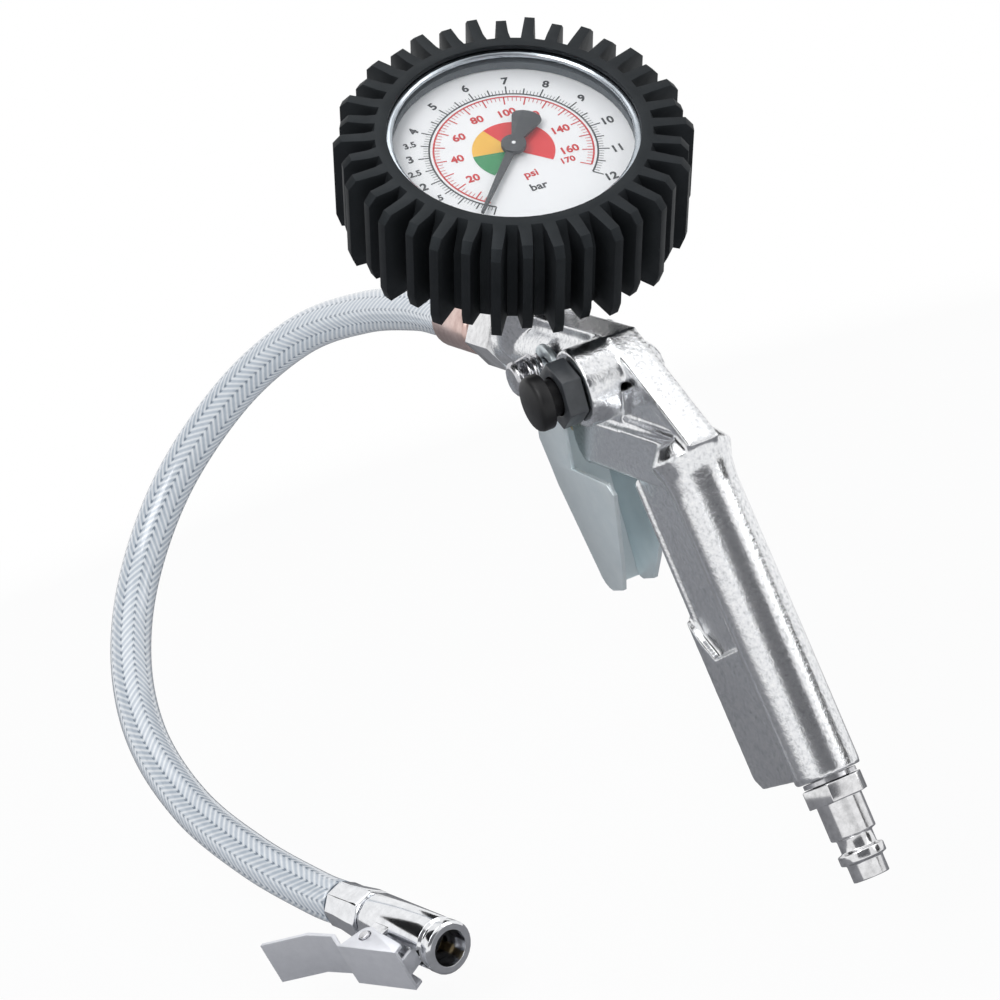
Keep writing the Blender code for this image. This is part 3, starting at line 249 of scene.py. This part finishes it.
finishes = {
    "castMetal": metalFinish("polishedCasting", {
        "blotchSize": 900, "rough": (0.24, 0.12), "bump": 0.32, "bumpDepth": 0.25 * mm, "grain": 0.05,
        "tones": ((0.3, (0.56, 0.57, 0.59)), (0.46, (0.78, 0.79, 0.81)), (0.7, (0.91, 0.915, 0.92)))}),
    "brightPlate": metalFinish("brightPlating", {
        "blotchSize": 500, "tones": ((0.3, (0.62, 0.62, 0.63)), (0.7, (0.87, 0.87, 0.88))),
        "rough": (0.2, 0.1), "bump": 0.05, "bumpDepth": 0.2 * mm, "grain": 0.05}),
    "chuckMetal": metalFinish("chuckPlating", {
        "blotchSize": 420, "tones": ((0.3, (0.74, 0.75, 0.77)), (0.65, (0.88, 0.89, 0.91))),
        "rough": (0.16, 0.08), "bump": 0.04, "bumpDepth": 0.2 * mm, "grain": 0.08}),
    "clipPlate": metalFinish("clipPlate", {
        "blotchSize": 200, "tones": ((0.3, (0.74, 0.75, 0.79)), (0.7, (0.82, 0.83, 0.87))),
        "rough": (0.5, 0.42), "bump": 0.02, "metal": 0.7}),
    "bezelMetal": metalFinish("bezelSteel", {
        "blotchSize": 900, "tones": ((0.3, (0.42, 0.46, 0.5)), (0.7, (0.5, 0.54, 0.58))),
        "rough": (0.24, 0.2), "bump": 0.02}),
    "blueZinc": metalFinish("blueZinc", {
        "blotchSize": 120, "tones": ((0.3, (0.76, 0.84, 0.87)), (0.7, (0.85, 0.92, 0.94))),
        "rough": (0.38, 0.32), "bump": 0.02, "metal": 0.65}),
    "springSteel": metalFinish("springSteel", {
        "blotchSize": 500, "tones": ((0.3, (0.5, 0.5, 0.52)), (0.7, (0.8, 0.8, 0.83))),
        "rough": (0.3, 0.18), "bump": 0.03}),
    "brass": metalFinish("machinedBrass", {
        "blotchSize": 400, "tones": ((0.3, (0.56, 0.40, 0.18)), (0.7, (0.78, 0.60, 0.32))),
        "rough": (0.4, 0.22), "bump": 0.05}),
    "copper": metalFinish("copperAlloy", {
        "blotchSize": 400, "tones": ((0.3, (0.60, 0.42, 0.38)), (0.7, (0.78, 0.60, 0.55))),
        "rough": (0.4, 0.24), "bump": 0.05}),
    "bootRubber": dullFinish("bootRubber", {
        "blotchSize": 120, "tones": ((0.3, (0.0045, 0.005, 0.0058)), (0.7, (0.009, 0.0098, 0.0112))),
        "rough": (0.66, 0.5), "bump": 0.12, "shine": 0.32, "tint": (0.8, 0.92, 1)}),
    "sealRubber": dullFinish("sealRubber", {
        "blotchSize": 300, "tones": ((0.3, (0.012, 0.012, 0.012)), (0.7, (0.03, 0.03, 0.03))),
        "rough": (0.7, 0.55), "bump": 0.1}),
    "nutGrey": dullFinish("nutGrey", {
        "blotchSize": 260, "tones": ((0.3, (0.032, 0.036, 0.041)), (0.7, (0.055, 0.06, 0.067))),
        "rough": (0.45, 0.3), "bump": 0.08, "coat": 0.15}),
    "buttonBlack": dullFinish("buttonBlack", {
        "blotchSize": 260, "tones": ((0.3, (0.004, 0.004, 0.005)), (0.7, (0.009, 0.009, 0.010))),
        "rough": (0.5, 0.38), "bump": 0.1, "shine": 0.35}),
    "caseBlack": dullFinish("caseLacquer", {
        "blotchSize": 240, "tones": ((0.3, (0.03, 0.03, 0.034)), (0.7, (0.055, 0.055, 0.06))),
        "rough": (0.45, 0.3), "bump": 0.05, "coat": 0.2}),
    "rimGrey": dullFinish("rimGrey", {
        "blotchSize": 240, "tones": ((0.3, (0.065, 0.08, 0.092)), (0.7, (0.085, 0.1, 0.112))),
        "rough": (0.5, 0.4), "bump": 0.04}),
    "dialWhite": dullFinish("dialWhite", {
        "blotchSize": 90, "tones": ((0.3, (0.96, 0.965, 0.97)), (0.7, (0.985, 0.985, 0.99))),
        "rough": (0.5, 0.4), "bump": 0.02}),
    "printBlack": dullFinish("printBlack", {
        "blotchSize": 500, "tones": ((0.3, (0.015, 0.016, 0.018)), (0.7, (0.03, 0.032, 0.035))),
        "rough": (0.55, 0.45), "bump": 0.02}),
    "printRed": dullFinish("printRed", {
        "blotchSize": 500, "tones": ((0.3, (0.58, 0.012, 0.016)), (0.7, (0.66, 0.02, 0.024))),
        "rough": (0.55, 0.45), "bump": 0.02}),
    "sectorRed": dullFinish("sectorRed", {
        "blotchSize": 300, "tones": ((0.3, (0.74, 0.018, 0.022)), (0.7, (0.80, 0.026, 0.03))),
        "rough": (0.5, 0.4), "bump": 0.02}),
    "sectorYellow": dullFinish("sectorYellow", {
        "blotchSize": 300, "tones": ((0.3, (0.94, 0.5, 0.045)), (0.7, (0.97, 0.56, 0.06))),
        "rough": (0.5, 0.4), "bump": 0.02}),
    "sectorGreen": dullFinish("sectorGreen", {
        "blotchSize": 300, "tones": ((0.3, (0.012, 0.25, 0.075)), (0.7, (0.02, 0.29, 0.095))),
        "rough": (0.5, 0.4), "bump": 0.02}),
    "pointerGrey": dullFinish("pointerGrey", {
        "blotchSize": 300, "tones": ((0.3, (0.022, 0.025, 0.029)), (0.7, (0.04, 0.044, 0.049))),
        "rough": (0.5, 0.4), "bump": 0.04}),
}

lensLook = {"blotchSize": 60, "detail": 2, "rough": (0.02, 0.05), "tone": (0.9, 0.95, 1), "cover": 0.04}


def lensFinish(look):
    material, tree, shader = newMaterial("clearLens", Alpha=look["cover"], Base_Color=(*look["tone"], 1))
    blotch = placeBlotch(tree, look["blotchSize"], look["detail"])[0]
    wire(tree, rangeNode(tree, blotch, *look["rough"], -500, 0), shader.inputs["Roughness"])
    return material


finishes["clearLens"] = lensFinish(lensLook)
print("finishes made,", len(finishes))

# clear hose with white braid, on the route of the solid, whose points are in millimetres
hoseLook = {
    "radius": 6 * mm, "sides": 36, "step": 3 * mm,
    "start": (151.9, 0, 54.5), "lead": (163.9, 0, 54.5),
    "route": ((180, 1.5, 54.5), (209, 7, 52), (238, 18.5, 45.5), (260, 37, 31), (269, 60, 10),
              (263.5, 80, -12), (247, 94, -31), (222, 101.5, -47), (192, 101.5, -60.5), (160, 96, -69.5)),
    "chuckStart": (122.9, 85.1, -77.1), "chuckAxis": (-0.9565, -0.2664, -0.0961), "chuckGap": 0.3 * mm,
    "bandPairs": 5, "slant": 2.0, "strokes": 15.4, "dotWide": 0.05, "dotLong": 0.2,
    "tones": ((0.08, (0.84, 0.87, 0.90)), (0.24, (0.62, 0.67, 0.73)), (0.46, (0.50, 0.56, 0.63))),
    "dotTone": (0.12, 0.16, 0.21), "dotFaint": 0.35, "hazeSize": 700, "hazeDetail": 3, "patchy": 0.12,
    "rough": 0.18, "coat": 0.7, "coatRough": 0.08, "bump": 0.2, "bumpDepth": 0.2 * mm,
}


def hoseFinish(look):
    material, tree, shader = newMaterial(
        "braidedHose", Roughness=look["rough"], Coat_Weight=look["coat"], Coat_Roughness=look["coatRough"])
    uv = addNode(tree, "ShaderNodeUVMap", -1900, 0)
    uv.uv_map = "hoseWrap"
    split = addNode(tree, "ShaderNodeSeparateXYZ", -1700, 0)
    wire(tree, uv.outputs["UV"], split.inputs["Vector"])
    # bands run along the hose and slant by turns, so the strokes make chevrons
    band = mathNode(tree, "MULTIPLY", split.outputs["Y"], look["bandPairs"], -1500, -150)
    zigzag = mathNode(tree, "PINGPONG", band, 0.5, -1300, -150)
    slant = mathNode(tree, "MULTIPLY", zigzag, 2 * look["slant"], -1100, -150)
    along = mathNode(tree, "MULTIPLY", split.outputs["X"], look["strokes"], -1300, 150)
    phase = mathNode(tree, "ADD", along, slant, -900, 0)
    part = mathNode(tree, "FRACT", phase, None, -750, 0)
    stroke = mathNode(tree, "ABSOLUTE", mathNode(tree, "SUBTRACT", part, 0.5, -600, 0), None, -450, 0)
    haze = placeBlotch(tree, look["hazeSize"], look["hazeDetail"])[0]
    patchy = rangeNode(tree, haze, -look["patchy"], look["patchy"], -600, 350)
    uneven = mathNode(tree, "ADD", stroke, patchy, -400, 200)
    tone = rampNode(tree, uneven, look["tones"], -250, 200)
    # a dark dot where two bands meet
    fold = mathNode(tree, "ABSOLUTE", mathNode(tree, "SUBTRACT", zigzag, 0.25, -1100, -450), None, -950, -450)
    atFold = mathNode(tree, "GREATER_THAN", fold, 0.25 - look["dotWide"], -800, -450)
    between = mathNode(tree, "GREATER_THAN", stroke, 0.5 - look["dotLong"], -450, -350)
    dots = mathNode(tree, "MULTIPLY", atFold, between, -300, -450)
    strength = rangeNode(tree, haze, look["dotFaint"], 1, -450, -600)
    dotted = addNode(tree, "ShaderNodeMix", 0, 200)
    dotted.data_type = "RGBA"
    wire(tree, mathNode(tree, "MULTIPLY", dots, strength, -150, -450), dotted.inputs["Factor"])
    firstColour, secondColour = [socket for socket in dotted.inputs if socket.type == "RGBA"]
    wire(tree, tone, firstColour)
    secondColour.default_value = (*look["dotTone"], 1)
    mixed = next(socket for socket in dotted.outputs if socket.type == "RGBA")
    wire(tree, mixed, shader.inputs["Base Color"])
    addBump(tree, shader, stroke, look["bump"], look["bumpDepth"]).invert = True
    return material


def hosePath(look):
    axis = Vector(look["chuckAxis"]).normalized()
    end = Vector(look["chuckStart"]) * mm - axis * look["chuckGap"]
    anchors = [Vector(point) * mm for point in (look["start"], look["lead"], *look["route"])]
    anchors += [end - axis * 2 * look["radius"], end]
    padded = [2 * anchors[0] - anchors[1]] + anchors + [2 * anchors[-1] - anchors[-2]]
    points = []
    for before, start, finish, after in zip(padded, padded[1:], padded[2:], padded[3:]):
        steps = max(1, round((finish - start).length / look["step"]))
        for step in range(steps):
            t = step / steps
            points.append(0.5 * ((2 * start) + (finish - before) * t
                                 + (2 * before - 5 * start + 4 * finish - after) * t * t
                                 + (3 * start - before - 3 * finish + after) * t ** 3))
    points.append(anchors[-1])
    return points


def makeHose(look):
    points = hosePath(look)
    builder = bmesh.new()
    wrap = builder.loops.layers.uv.new("hoseWrap")
    radius, sides = look["radius"], look["sides"]
    rings, travel, lengths = [], 0, []
    side = Vector((0, 0, 1))
    for place, point in enumerate(points):
        ahead = points[min(place + 1, len(points) - 1)]
        behind = points[max(place - 1, 0)]
        forward = (ahead - behind).normalized()
        side = (side - side.dot(forward) * forward).normalized()
        other = forward.cross(side)
        if place:
            travel += (point - points[place - 1]).length
        lengths.append(travel / (2 * math.pi * radius))
        angles = [2 * math.pi * turn / sides for turn in range(sides)]
        rings.append([builder.verts.new(point + radius * (math.cos(angle) * side + math.sin(angle) * other))
                      for angle in angles])
    for place, (ring, following) in enumerate(zip(rings, rings[1:])):
        for turn in range(sides):
            after = (turn + 1) % sides
            face = builder.faces.new((ring[turn], ring[after], following[after], following[turn]))
            face.smooth = True
            corners = ((place, turn), (place, turn + 1), (place + 1, turn + 1), (place + 1, turn))
            for loop, (row, step) in zip(face.loops, corners):
                loop[wrap].uv = (lengths[row], step / sides)
    for ring in (rings[0], rings[-1]):
        builder.faces.new(ring)
    bmesh.ops.recalc_face_normals(builder, faces=builder.faces)
    hose = newObject("braidedHose", builder)
    hose.data.materials.append(hoseFinish(look))
    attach(hose, "pistol")
    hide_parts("hose")
    print("hose length", round(travel, 4))
    return hose, points, travel


hose, hosePoints, hoseLength = makeHose(hoseLook)

# a copy of a solid, merged and with its edges eased, takes the solid's place
bodyOf = {node: body for body, nodes in frame["record"]["behaviour"]["bodies"].items() for node in nodes}
easing = {"merge": 0.002 * mm, "flat": 0.5, "smoothShare": 0.5, "segments": 2, "angle": 34, "crease": 32}


def dressed(piece, node, finish):
    piece.data.materials.clear()
    piece.data.materials.append(finishes[finish])
    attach(piece, bodyOf[node])
    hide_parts(node)
    piece.select_set(False)
    return piece


def easedCopy(node, name, finish, look):
    look = easing | look
    piece = bpy.data.objects.new(name, frame["nodes"][node].data.copy())
    scene.collection.objects.link(piece)
    activate(piece)
    bpy.ops.object.mode_set(mode="EDIT")
    bpy.ops.mesh.select_all(action="SELECT")
    bpy.ops.mesh.remove_doubles(threshold=look["merge"])
    bpy.ops.mesh.customdata_custom_splitnormals_clear()
    bpy.ops.mesh.dissolve_limited(angle_limit=math.radians(look["flat"]))
    bpy.ops.object.mode_set(mode="OBJECT")
    if "voxel" in look:
        applyModifier(piece, "REMESH", mode="VOXEL", voxel_size=look["voxel"])
        applyModifier(piece, "SMOOTH", factor=look["smoothShare"], iterations=look["smooth"])
        bpy.ops.object.shade_smooth()
    else:
        if "bevel" in look:
            applyModifier(piece, "BEVEL", width=look["bevel"], segments=look["segments"],
                          limit_method="ANGLE", angle_limit=math.radians(look["angle"]))
        bpy.ops.object.shade_smooth_by_angle(angle=math.radians(look["crease"]))
    return dressed(piece, node, finish)


castLook = {"voxel": 0.5 * mm, "smooth": 10}
bootLook = {"bevel": 0.5 * mm, "angle": 25}
ringLook = {"bevel": 0.12 * mm}
turnedLook = {"bevel": 0.3 * mm, "segments": 3}
crimpLook = {"bevel": 0.4 * mm, "segments": 3}
buttonLook = {"bevel": 0.6 * mm, "segments": 4}
sheetLook = {"bevel": 0.25 * mm}
wireLook = {"crease": 60}
plainLook = {}

for node, name, finish, look in (
        ("body_casting", "castBody", "castMetal", castLook),
        ("gauge_boot", "ribbedBoot", "bootRubber", bootLook),
        ("gauge_bezel", "bezelRing", "bezelMetal", ringLook),
        ("gauge_case", "gaugePan", "caseBlack", plainLook),
        ("inlet_nipple", "inletPlug", "brightPlate", turnedLook),
        ("inlet_washer", "inletWasher", "springSteel", plainLook),
        ("hose_fitting", "hoseFitting", "brightPlate", turnedLook),
        ("hose_ferrule", "hoseCollar", "copper", turnedLook),
        ("bleed_nut", "bleedNut", "nutGrey", turnedLook),
        ("bleed_button", "bleedButton", "buttonBlack", buttonLook),
        ("trigger", "triggerPress", "blueZinc", sheetLook),
        ("trigger_spring", "triggerCoil", "springSteel", wireLook),
        ("pivot_screw_left", "pivotScrewLeft", "springSteel", turnedLook),
        ("pivot_screw_right", "pivotScrewRight", "springSteel", turnedLook),
        ("chuck_body", "chuckBarrel", "chuckMetal", turnedLook),
        ("chuck_ferrule", "chuckCrimp", "chuckMetal", crimpLook),
        ("chuck_lever", "chuckClip", "clipPlate", sheetLook),
        ("chuck_lever_pin", "clipPin", "springSteel", turnedLook),
        ("gauge_socket", "gaugeStem", "brightPlate", turnedLook)):
    easedCopy(node, name, finish, look)

# the two return springs, each an eased copy with a mesh of its own; each row also lists its joint, axis, seat
# and travel
for node, name, joint, axis, seat, travel in (
        ("valve_spring", "valveCoil", "valve_push", (1, 0, 0), 30.3 * mm, 6.6 * mm),
        ("bleed_spring", "bleedCoil", "bleed_press", (0, 1, 0), 2.3 * mm, 2.2 * mm)):
    spring = easedCopy(node, name, "springSteel", wireLook)
    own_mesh(spring)

# the gauge's hand with its rounded tail, and the end of its spindle; half is its outline in millimetres
handLook = {
    "zero": 135, "low": -5.2 * mm, "thick": 0.8 * mm, "bevel": 0.12 * mm,
    "hub": 3.1 * mm, "hubTall": 1.3 * mm, "hubSink": 0.1 * mm, "hubSides": 40,
    "pin": 0.5 * mm, "pinTall": 0.15 * mm, "pinGap": 0.01 * mm, "pinSides": 20,
    "half": ((25, 0.35), (1, 1.1), (-3, 1.5), (-9.8, 3.65), (-10.9, 3.75), (-11.9, 3.1),
             (-12.6, 1.6), (-12.8, 0)),
}


def makeHand(look):
    outline = list(look["half"]) + [(x, -y) for x, y in reversed(look["half"][:-1])]
    builder = bmesh.new()
    builder.faces.new([builder.verts.new((x * mm, y * mm, look["low"])) for x, y in outline])
    hand = newObject("pointerHand", builder)
    activate(hand)
    bpy.ops.object.mode_set(mode="EDIT")
    bpy.ops.mesh.select_all(action="SELECT")
    bpy.ops.mesh.extrude_region_move(TRANSFORM_OT_translate={"value": (0, 0, look["thick"])})
    bpy.ops.mesh.select_all(action="SELECT")
    bpy.ops.mesh.normals_make_consistent(inside=False)
    bpy.ops.object.mode_set(mode="OBJECT")
    top = look["low"] + look["hubTall"]
    depth = look["hubTall"] - look["hubSink"]
    bpy.ops.mesh.primitive_cylinder_add(vertices=look["hubSides"], radius=look["hub"], depth=depth,
                                        location=(0, 0, top - depth / 2))
    hub = bpy.context.object
    activate(hand)
    applyModifier(hand, "BOOLEAN", operation="UNION", object=hub)
    bpy.data.objects.remove(hub, do_unlink=True)
    applyModifier(hand, "BEVEL", width=look["bevel"], segments=easing["segments"])
    bpy.ops.object.shade_smooth_by_angle(angle=math.radians(easing["crease"]))
    hand.data.transform(gaugeFrame @ Matrix.Rotation(math.radians(look["zero"]), 4, "Z"))
    dressed(hand, "pointer", "pointerGrey")
    bpy.ops.mesh.primitive_cylinder_add(vertices=look["pinSides"], radius=look["pin"], depth=look["pinTall"])
    pin = bpy.context.object
    pin.name = "spindleEnd"
    pin.data.transform(gaugeFrame @ Matrix.Translation((0, 0, top + look["pinTall"] / 2 + look["pinGap"])))
    pin.data.materials.append(finishes["dialWhite"])
    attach(pin, "pointer")
    pin.select_set(False)
    print("made pointerHand", len(hand.data.polygons), "faces")


makeHand(handLook)

# solids that stay take a finish of their own
keptFinishes = {
    "bleed_seal": "sealRubber", "bleed_stem": "brass", "bourdon_tube": "brass",
    "chuck_core_pin": "brass", "chuck_seal": "sealRubber", "chuck_spring": "springSteel",
    "dial_plate": "dialWhite", "gauge_lens": "clearLens", "gauge_seal": "sealRubber",
    "lens_gasket": "rimGrey", "movement_frame": "brass", "pointer_shaft": "brass",
    "sector_gear": "brass", "stem_seal": "sealRubber", "tip_link": "brass",
    "valve_gland": "brass", "valve_seat": "sealRubber", "valve_stem": "brass",
}
for node, finish in keptFinishes.items():
    kept = frame["nodes"][node]
    kept.data.materials.clear()
    kept.data.materials.append(finishes[finish])
print("kept solids finished")

# printed dial: linear scales, clockwise from zero; ticks say how often, how long and how wide
fullScale, fullTurn, psiInBar = 12, 280, 14.5038
dialLook = {
    "zero": 140.8, "perBar": fullTurn / fullScale, "perPsi": fullTurn / fullScale / psiInBar, "up": -4.5,
    "top": -6.4 * mm + 0.06 * mm, "merge": 0.001 * mm, "leastSteps": 8, "stepAngle": 3, "tickRoot": 0.2 * mm,
    "blackArc": (20.4 * mm, 20.85 * mm), "redArc": (19.35 * mm, 19.8 * mm), "disc": (1.8 * mm, 10.2 * mm),
    "barTicks": ((10, 2.6 * mm, 0.34 * mm), (5, 1.9 * mm, 0.34 * mm), (1, 1.2 * mm, 0.14 * mm)),
    "psiTicks": ((10, 2.6 * mm, 0.34 * mm), (2, 1.3 * mm, 0.16 * mm)), "psiRange": (3, 170), "firstPsi": 6,
    "barMarks": ("1", "1.5", "2", "2.5", "3", "3.5", "4", "5", "6", "7", "8", "9", "10", "11", "12"),
    "psiMarks": ("20", "40", "60", "80", "100", "120", "140", "160", "170"),
    "barNumbers": 25.4 * mm, "barSize": 3.4 * mm, "smallShare": 0.78, "leanShare": 0.75, "leanLimit": 60,
    "psiNumbers": 14.1 * mm, "psiSize": 3.3 * mm, "lastShare": 0.8, "longInward": 0.5 * mm,
    "behindTail": "120", "tailNudge": (0.6 * mm, 6.5),
    "wordSize": 3.3 * mm, "barWord": (-14.2 * mm, 0.6 * mm), "psiWord": (-9.4 * mm, 0.2 * mm),
    "wordWeight": 0.026, "numberWeight": 0.034, "curveSteps": 3,
    "fields": (("dialRedField", "sectorRed", 20, -137), ("dialYellowField", "sectorYellow", 77, 20),
               ("dialGreenField", "sectorGreen", 126, 77)),
}


def dialMesh(name, finish, parts):
    bpy.ops.object.select_all(action="DESELECT")
    for part in parts:
        part.select_set(True)
    made = parts[0]
    bpy.context.view_layer.objects.active = made
    if len(parts) > 1:
        bpy.ops.object.join()
    made.name = name
    bpy.ops.object.transform_apply(location=True, rotation=True, scale=True)
    made.data.transform(gaugeFrame)
    made.data.materials.clear()
    made.data.materials.append(finishes[finish])
    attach(made, "pistol")
    made.select_set(False)
    print("printed", name)


def atAngle(radius, angle):
    return radius * math.cos(math.radians(angle)), radius * math.sin(math.radians(angle))


def arcBand(look, radii, fromAngle, toAngle):
    builder = bmesh.new()
    builder.edges.new([builder.verts.new((*atAngle(radius, fromAngle), look["top"])) for radius in radii])
    band = newObject("dialBand", builder)
    activate(band)
    bpy.ops.object.mode_set(mode="EDIT")
    bpy.ops.mesh.select_all(action="SELECT")
    sweep = toAngle - fromAngle
    # spin turns clockwise here, so the sweep changes its sign
    bpy.ops.mesh.spin(steps=max(look["leastSteps"], round(abs(sweep) / look["stepAngle"])),
                      angle=math.radians(-sweep), center=(0, 0, 0), axis=(0, 0, 1))
    bpy.ops.mesh.select_all(action="SELECT")
    bpy.ops.mesh.remove_doubles(threshold=look["merge"])
    bpy.ops.mesh.normals_make_consistent(inside=False)
    bpy.ops.object.mode_set(mode="OBJECT")
    if band.data.polygons[0].normal.z < 0:
        band.data.flip_normals()
    return band


def tickMark(look, angle, inner, outer, width):
    bpy.ops.mesh.primitive_plane_add(size=1)
    tick = bpy.context.object
    tick.scale = (outer - inner, width, 1)
    tick.location = (*atAngle((inner + outer) / 2, angle), look["top"])
    tick.rotation_euler = (0, 0, math.radians(angle))
    return tick


def tickSize(ticks, count):
    return next((reach, width) for every, reach, width in ticks if count % every == 0)


def dialText(look, words, size, spot, lean=0):
    bpy.ops.object.text_add()
    label = bpy.context.object
    label.data.body = words
    label.data.size = size
    label.data.align_x = "CENTER"
    label.data.align_y = "CENTER"
    label.data.offset = (look["wordWeight"] if words.isalpha() else look["numberWeight"]) * size
    label.data.resolution_u = look["curveSteps"]
    bpy.ops.object.convert(target="MESH")
    label = bpy.context.object
    label.location = (*spot, look["top"])
    label.rotation_euler = (0, 0, math.radians(look["up"] - 90 + lean))
    return label


def printBarScale(look):
    def angleOf(bar):
        return look["zero"] - bar * look["perBar"]

    parts = [arcBand(look, look["blackArc"], angleOf(0), angleOf(fullScale))]
    root = look["blackArc"][1]
    for tenth in range(10 * fullScale + 1):
        reach, width = tickSize(look["barTicks"], tenth)
        parts.append(tickMark(look, angleOf(tenth / 10), root - look["tickRoot"], root + reach, width))
    for words in look["barMarks"]:
        angle = angleOf(float(words))
        lean = angle - look["up"]
        lean = look["leanShare"] * lean if abs(lean) < look["leanLimit"] else 0
        size = look["barSize"] * (look["smallShare"] if "." in words or words == "1" else 1)
        parts.append(dialText(look, words, size, atAngle(look["barNumbers"], angle), lean))
    parts.append(dialText(look, "bar", look["wordSize"], look["barWord"]))
    dialMesh("dialBarPrint", "printBlack", parts)


def printPsiScale(look):
    def angleOf(psi):
        return look["zero"] - psi * look["perPsi"]

    lowest, highest = look["psiRange"]
    parts = [arcBand(look, look["redArc"], angleOf(lowest), angleOf(highest))]
    root = look["redArc"][0]
    for psi in range(look["firstPsi"], highest + 1, 2):
        reach, width = tickSize(look["psiTicks"], psi)
        parts.append(tickMark(look, angleOf(psi), root - reach, root + look["tickRoot"], width))
    for words in look["psiMarks"]:
        size = look["psiSize"] * (look["lastShare"] if words == look["psiMarks"][-1] else 1)
        inward, turn = look["tailNudge"] if words == look["behindTail"] else (0, 0)
        inward += look["longInward"] if len(words) == 3 else 0
        spot = atAngle(look["psiNumbers"] - inward, angleOf(float(words)) + turn)
        parts.append(dialText(look, words, size, spot))
    parts.append(dialText(look, "psi", look["wordSize"], look["psiWord"]))
    dialMesh("dialPsiPrint", "printRed", parts)


printBarScale(dialLook)
printPsiScale(dialLook)
for name, finish, start, end in dialLook["fields"]:
    dialMesh(name, finish, [arcBand(dialLook, dialLook["disc"], start, end)])

# pale floor, white surroundings and soft lamps
stageLook = {
    "floor": -0.103, "size": 60.0, "floorTone": (0.86, 0.86, 0.86), "floorRough": 0.9,
    "fade": (0.2, 0.7), "lift": 0.93, "ambientTone": (0.93, 0.96, 1), "ambient": 0.42,
}


def rayIsSeen(tree):
    path = addNode(tree, "ShaderNodeLightPath", -900, 400)
    seen = mathNode(tree, "MAXIMUM", path.outputs["Is Camera Ray"], path.outputs["Is Glossy Ray"], -700, 400)
    return mathNode(tree, "MAXIMUM", seen, path.outputs["Is Transmission Ray"], -500, 400)


def mixShaders(tree, share, first, second, surface):
    mix = addNode(tree, "ShaderNodeMixShader", 200, 0)
    wire(tree, share, mix.inputs["Fac"])
    wire(tree, first, mix.inputs[1])
    wire(tree, second, mix.inputs[2])
    wire(tree, mix.outputs["Shader"], surface)


def makeFloor(look):
    bpy.ops.mesh.primitive_plane_add(size=look["size"], location=(0, 0, look["floor"]))
    floor = bpy.context.object
    floor.name = "floor"
    material, tree, shader = newMaterial("paleFloor", Roughness=look["floorRough"], Specular_IOR_Level=0,
                                         Base_Color=(*look["floorTone"], 1))
    coords = addNode(tree, "ShaderNodeTexCoord", -900, -200)
    away = addNode(tree, "ShaderNodeVectorMath", -700, -200)
    away.operation = "LENGTH"
    wire(tree, coords.outputs["Object"], away.inputs[0])
    fade = addNode(tree, "ShaderNodeMapRange", -500, -200, From_Min=look["fade"][0], From_Max=look["fade"][1])
    fade.interpolation_type = "SMOOTHSTEP"
    wire(tree, away.outputs["Value"], fade.inputs["Value"])
    share = mathNode(tree, "MAXIMUM", fade.outputs["Result"], look["lift"], -300, -200)
    white = addNode(tree, "ShaderNodeEmission", -100, -200, Color=(1, 1, 1, 1), Strength=1)
    mixShaders(tree, mathNode(tree, "MULTIPLY", rayIsSeen(tree), share, -100, 300), shader.outputs["BSDF"],
               white.outputs["Emission"], tree.nodes["Material Output"].inputs["Surface"])
    floor.data.materials.append(material)


def makeWorld(look):
    scene.world = bpy.data.worlds.new("studioWorld")
    scene.world.use_nodes = True
    tree = scene.world.node_tree
    tree.nodes.clear()
    ambient = addNode(tree, "ShaderNodeBackground", -300, 0, Color=(*look["ambientTone"], 1),
                      Strength=look["ambient"])
    white = addNode(tree, "ShaderNodeBackground", -300, -200, Color=(1, 1, 1, 1), Strength=1)
    out = addNode(tree, "ShaderNodeOutputWorld", 400, 0)
    mixShaders(tree, rayIsSeen(tree), ambient.outputs["Background"], white.outputs["Background"],
               out.inputs["Surface"])


def addLamp(name, spot, target, size, power):
    bpy.ops.object.light_add(type="AREA", location=spot)
    lamp = bpy.context.object
    lamp.name = name
    lamp.data.shape = "RECTANGLE"
    lamp.data.size, lamp.data.size_y = size
    lamp.data.energy = power
    lamp.rotation_euler = (Vector(target) - Vector(spot)).to_track_quat("-Z", "Y").to_euler()


# cards that only reflections see; each is a little blue
cardBlue = 1.04


def addCard(name, spot, target, size, tone):
    bpy.ops.mesh.primitive_plane_add(size=1)
    card = bpy.context.object
    card.name = name
    card.location = spot
    card.rotation_euler = (Vector(target) - Vector(spot)).to_track_quat("Z", "Y").to_euler()
    card.scale = (*size, 1)
    card.visible_camera = False
    card.visible_diffuse = False
    card.visible_shadow = False
    cardTone = (tone, tone, tone * cardBlue, 1)
    card.data.materials.append(newMaterial(name, Roughness=1.0, Specular_IOR_Level=0, Base_Color=cardTone)[0])


makeFloor(stageLook)
makeWorld(stageLook)
aim = (0.06, 0.02, 0.03)
addLamp("keyLamp", (-0.7, 0.9, 1.1), aim, (0.8, 0.8), 9.6)
addLamp("sideLamp", (-0.6, -1.0, 0.6), aim, (0.7, 0.9), 3)
addLamp("topLamp", (0.3, 0.1, 1.3), aim, (1.0, 1.0), 4)
addCard("greyCardFloor", (0.55, 0.3, -0.1), (0.55, 0.3, 1), (1.3, 1.0), 0.3)
addCard("greyCardBack", (-1.04, 0.28, 0.44), aim, (1.4, 0.7), 0.22)
addCard("darkCardSide", (-0.5, -0.95, 0.05), aim, (0.5, 0.5), 0.03)
addCard("darkCardFar", (0.7, -0.5, 0.45), aim, (0.6, 0.6), 0.03)
addCard("darkCardChuck", (0.5, 0.62, 0.58), (0.09, 0.075, -0.08), (0.7, 0.5), 0.02)
print("stage set")
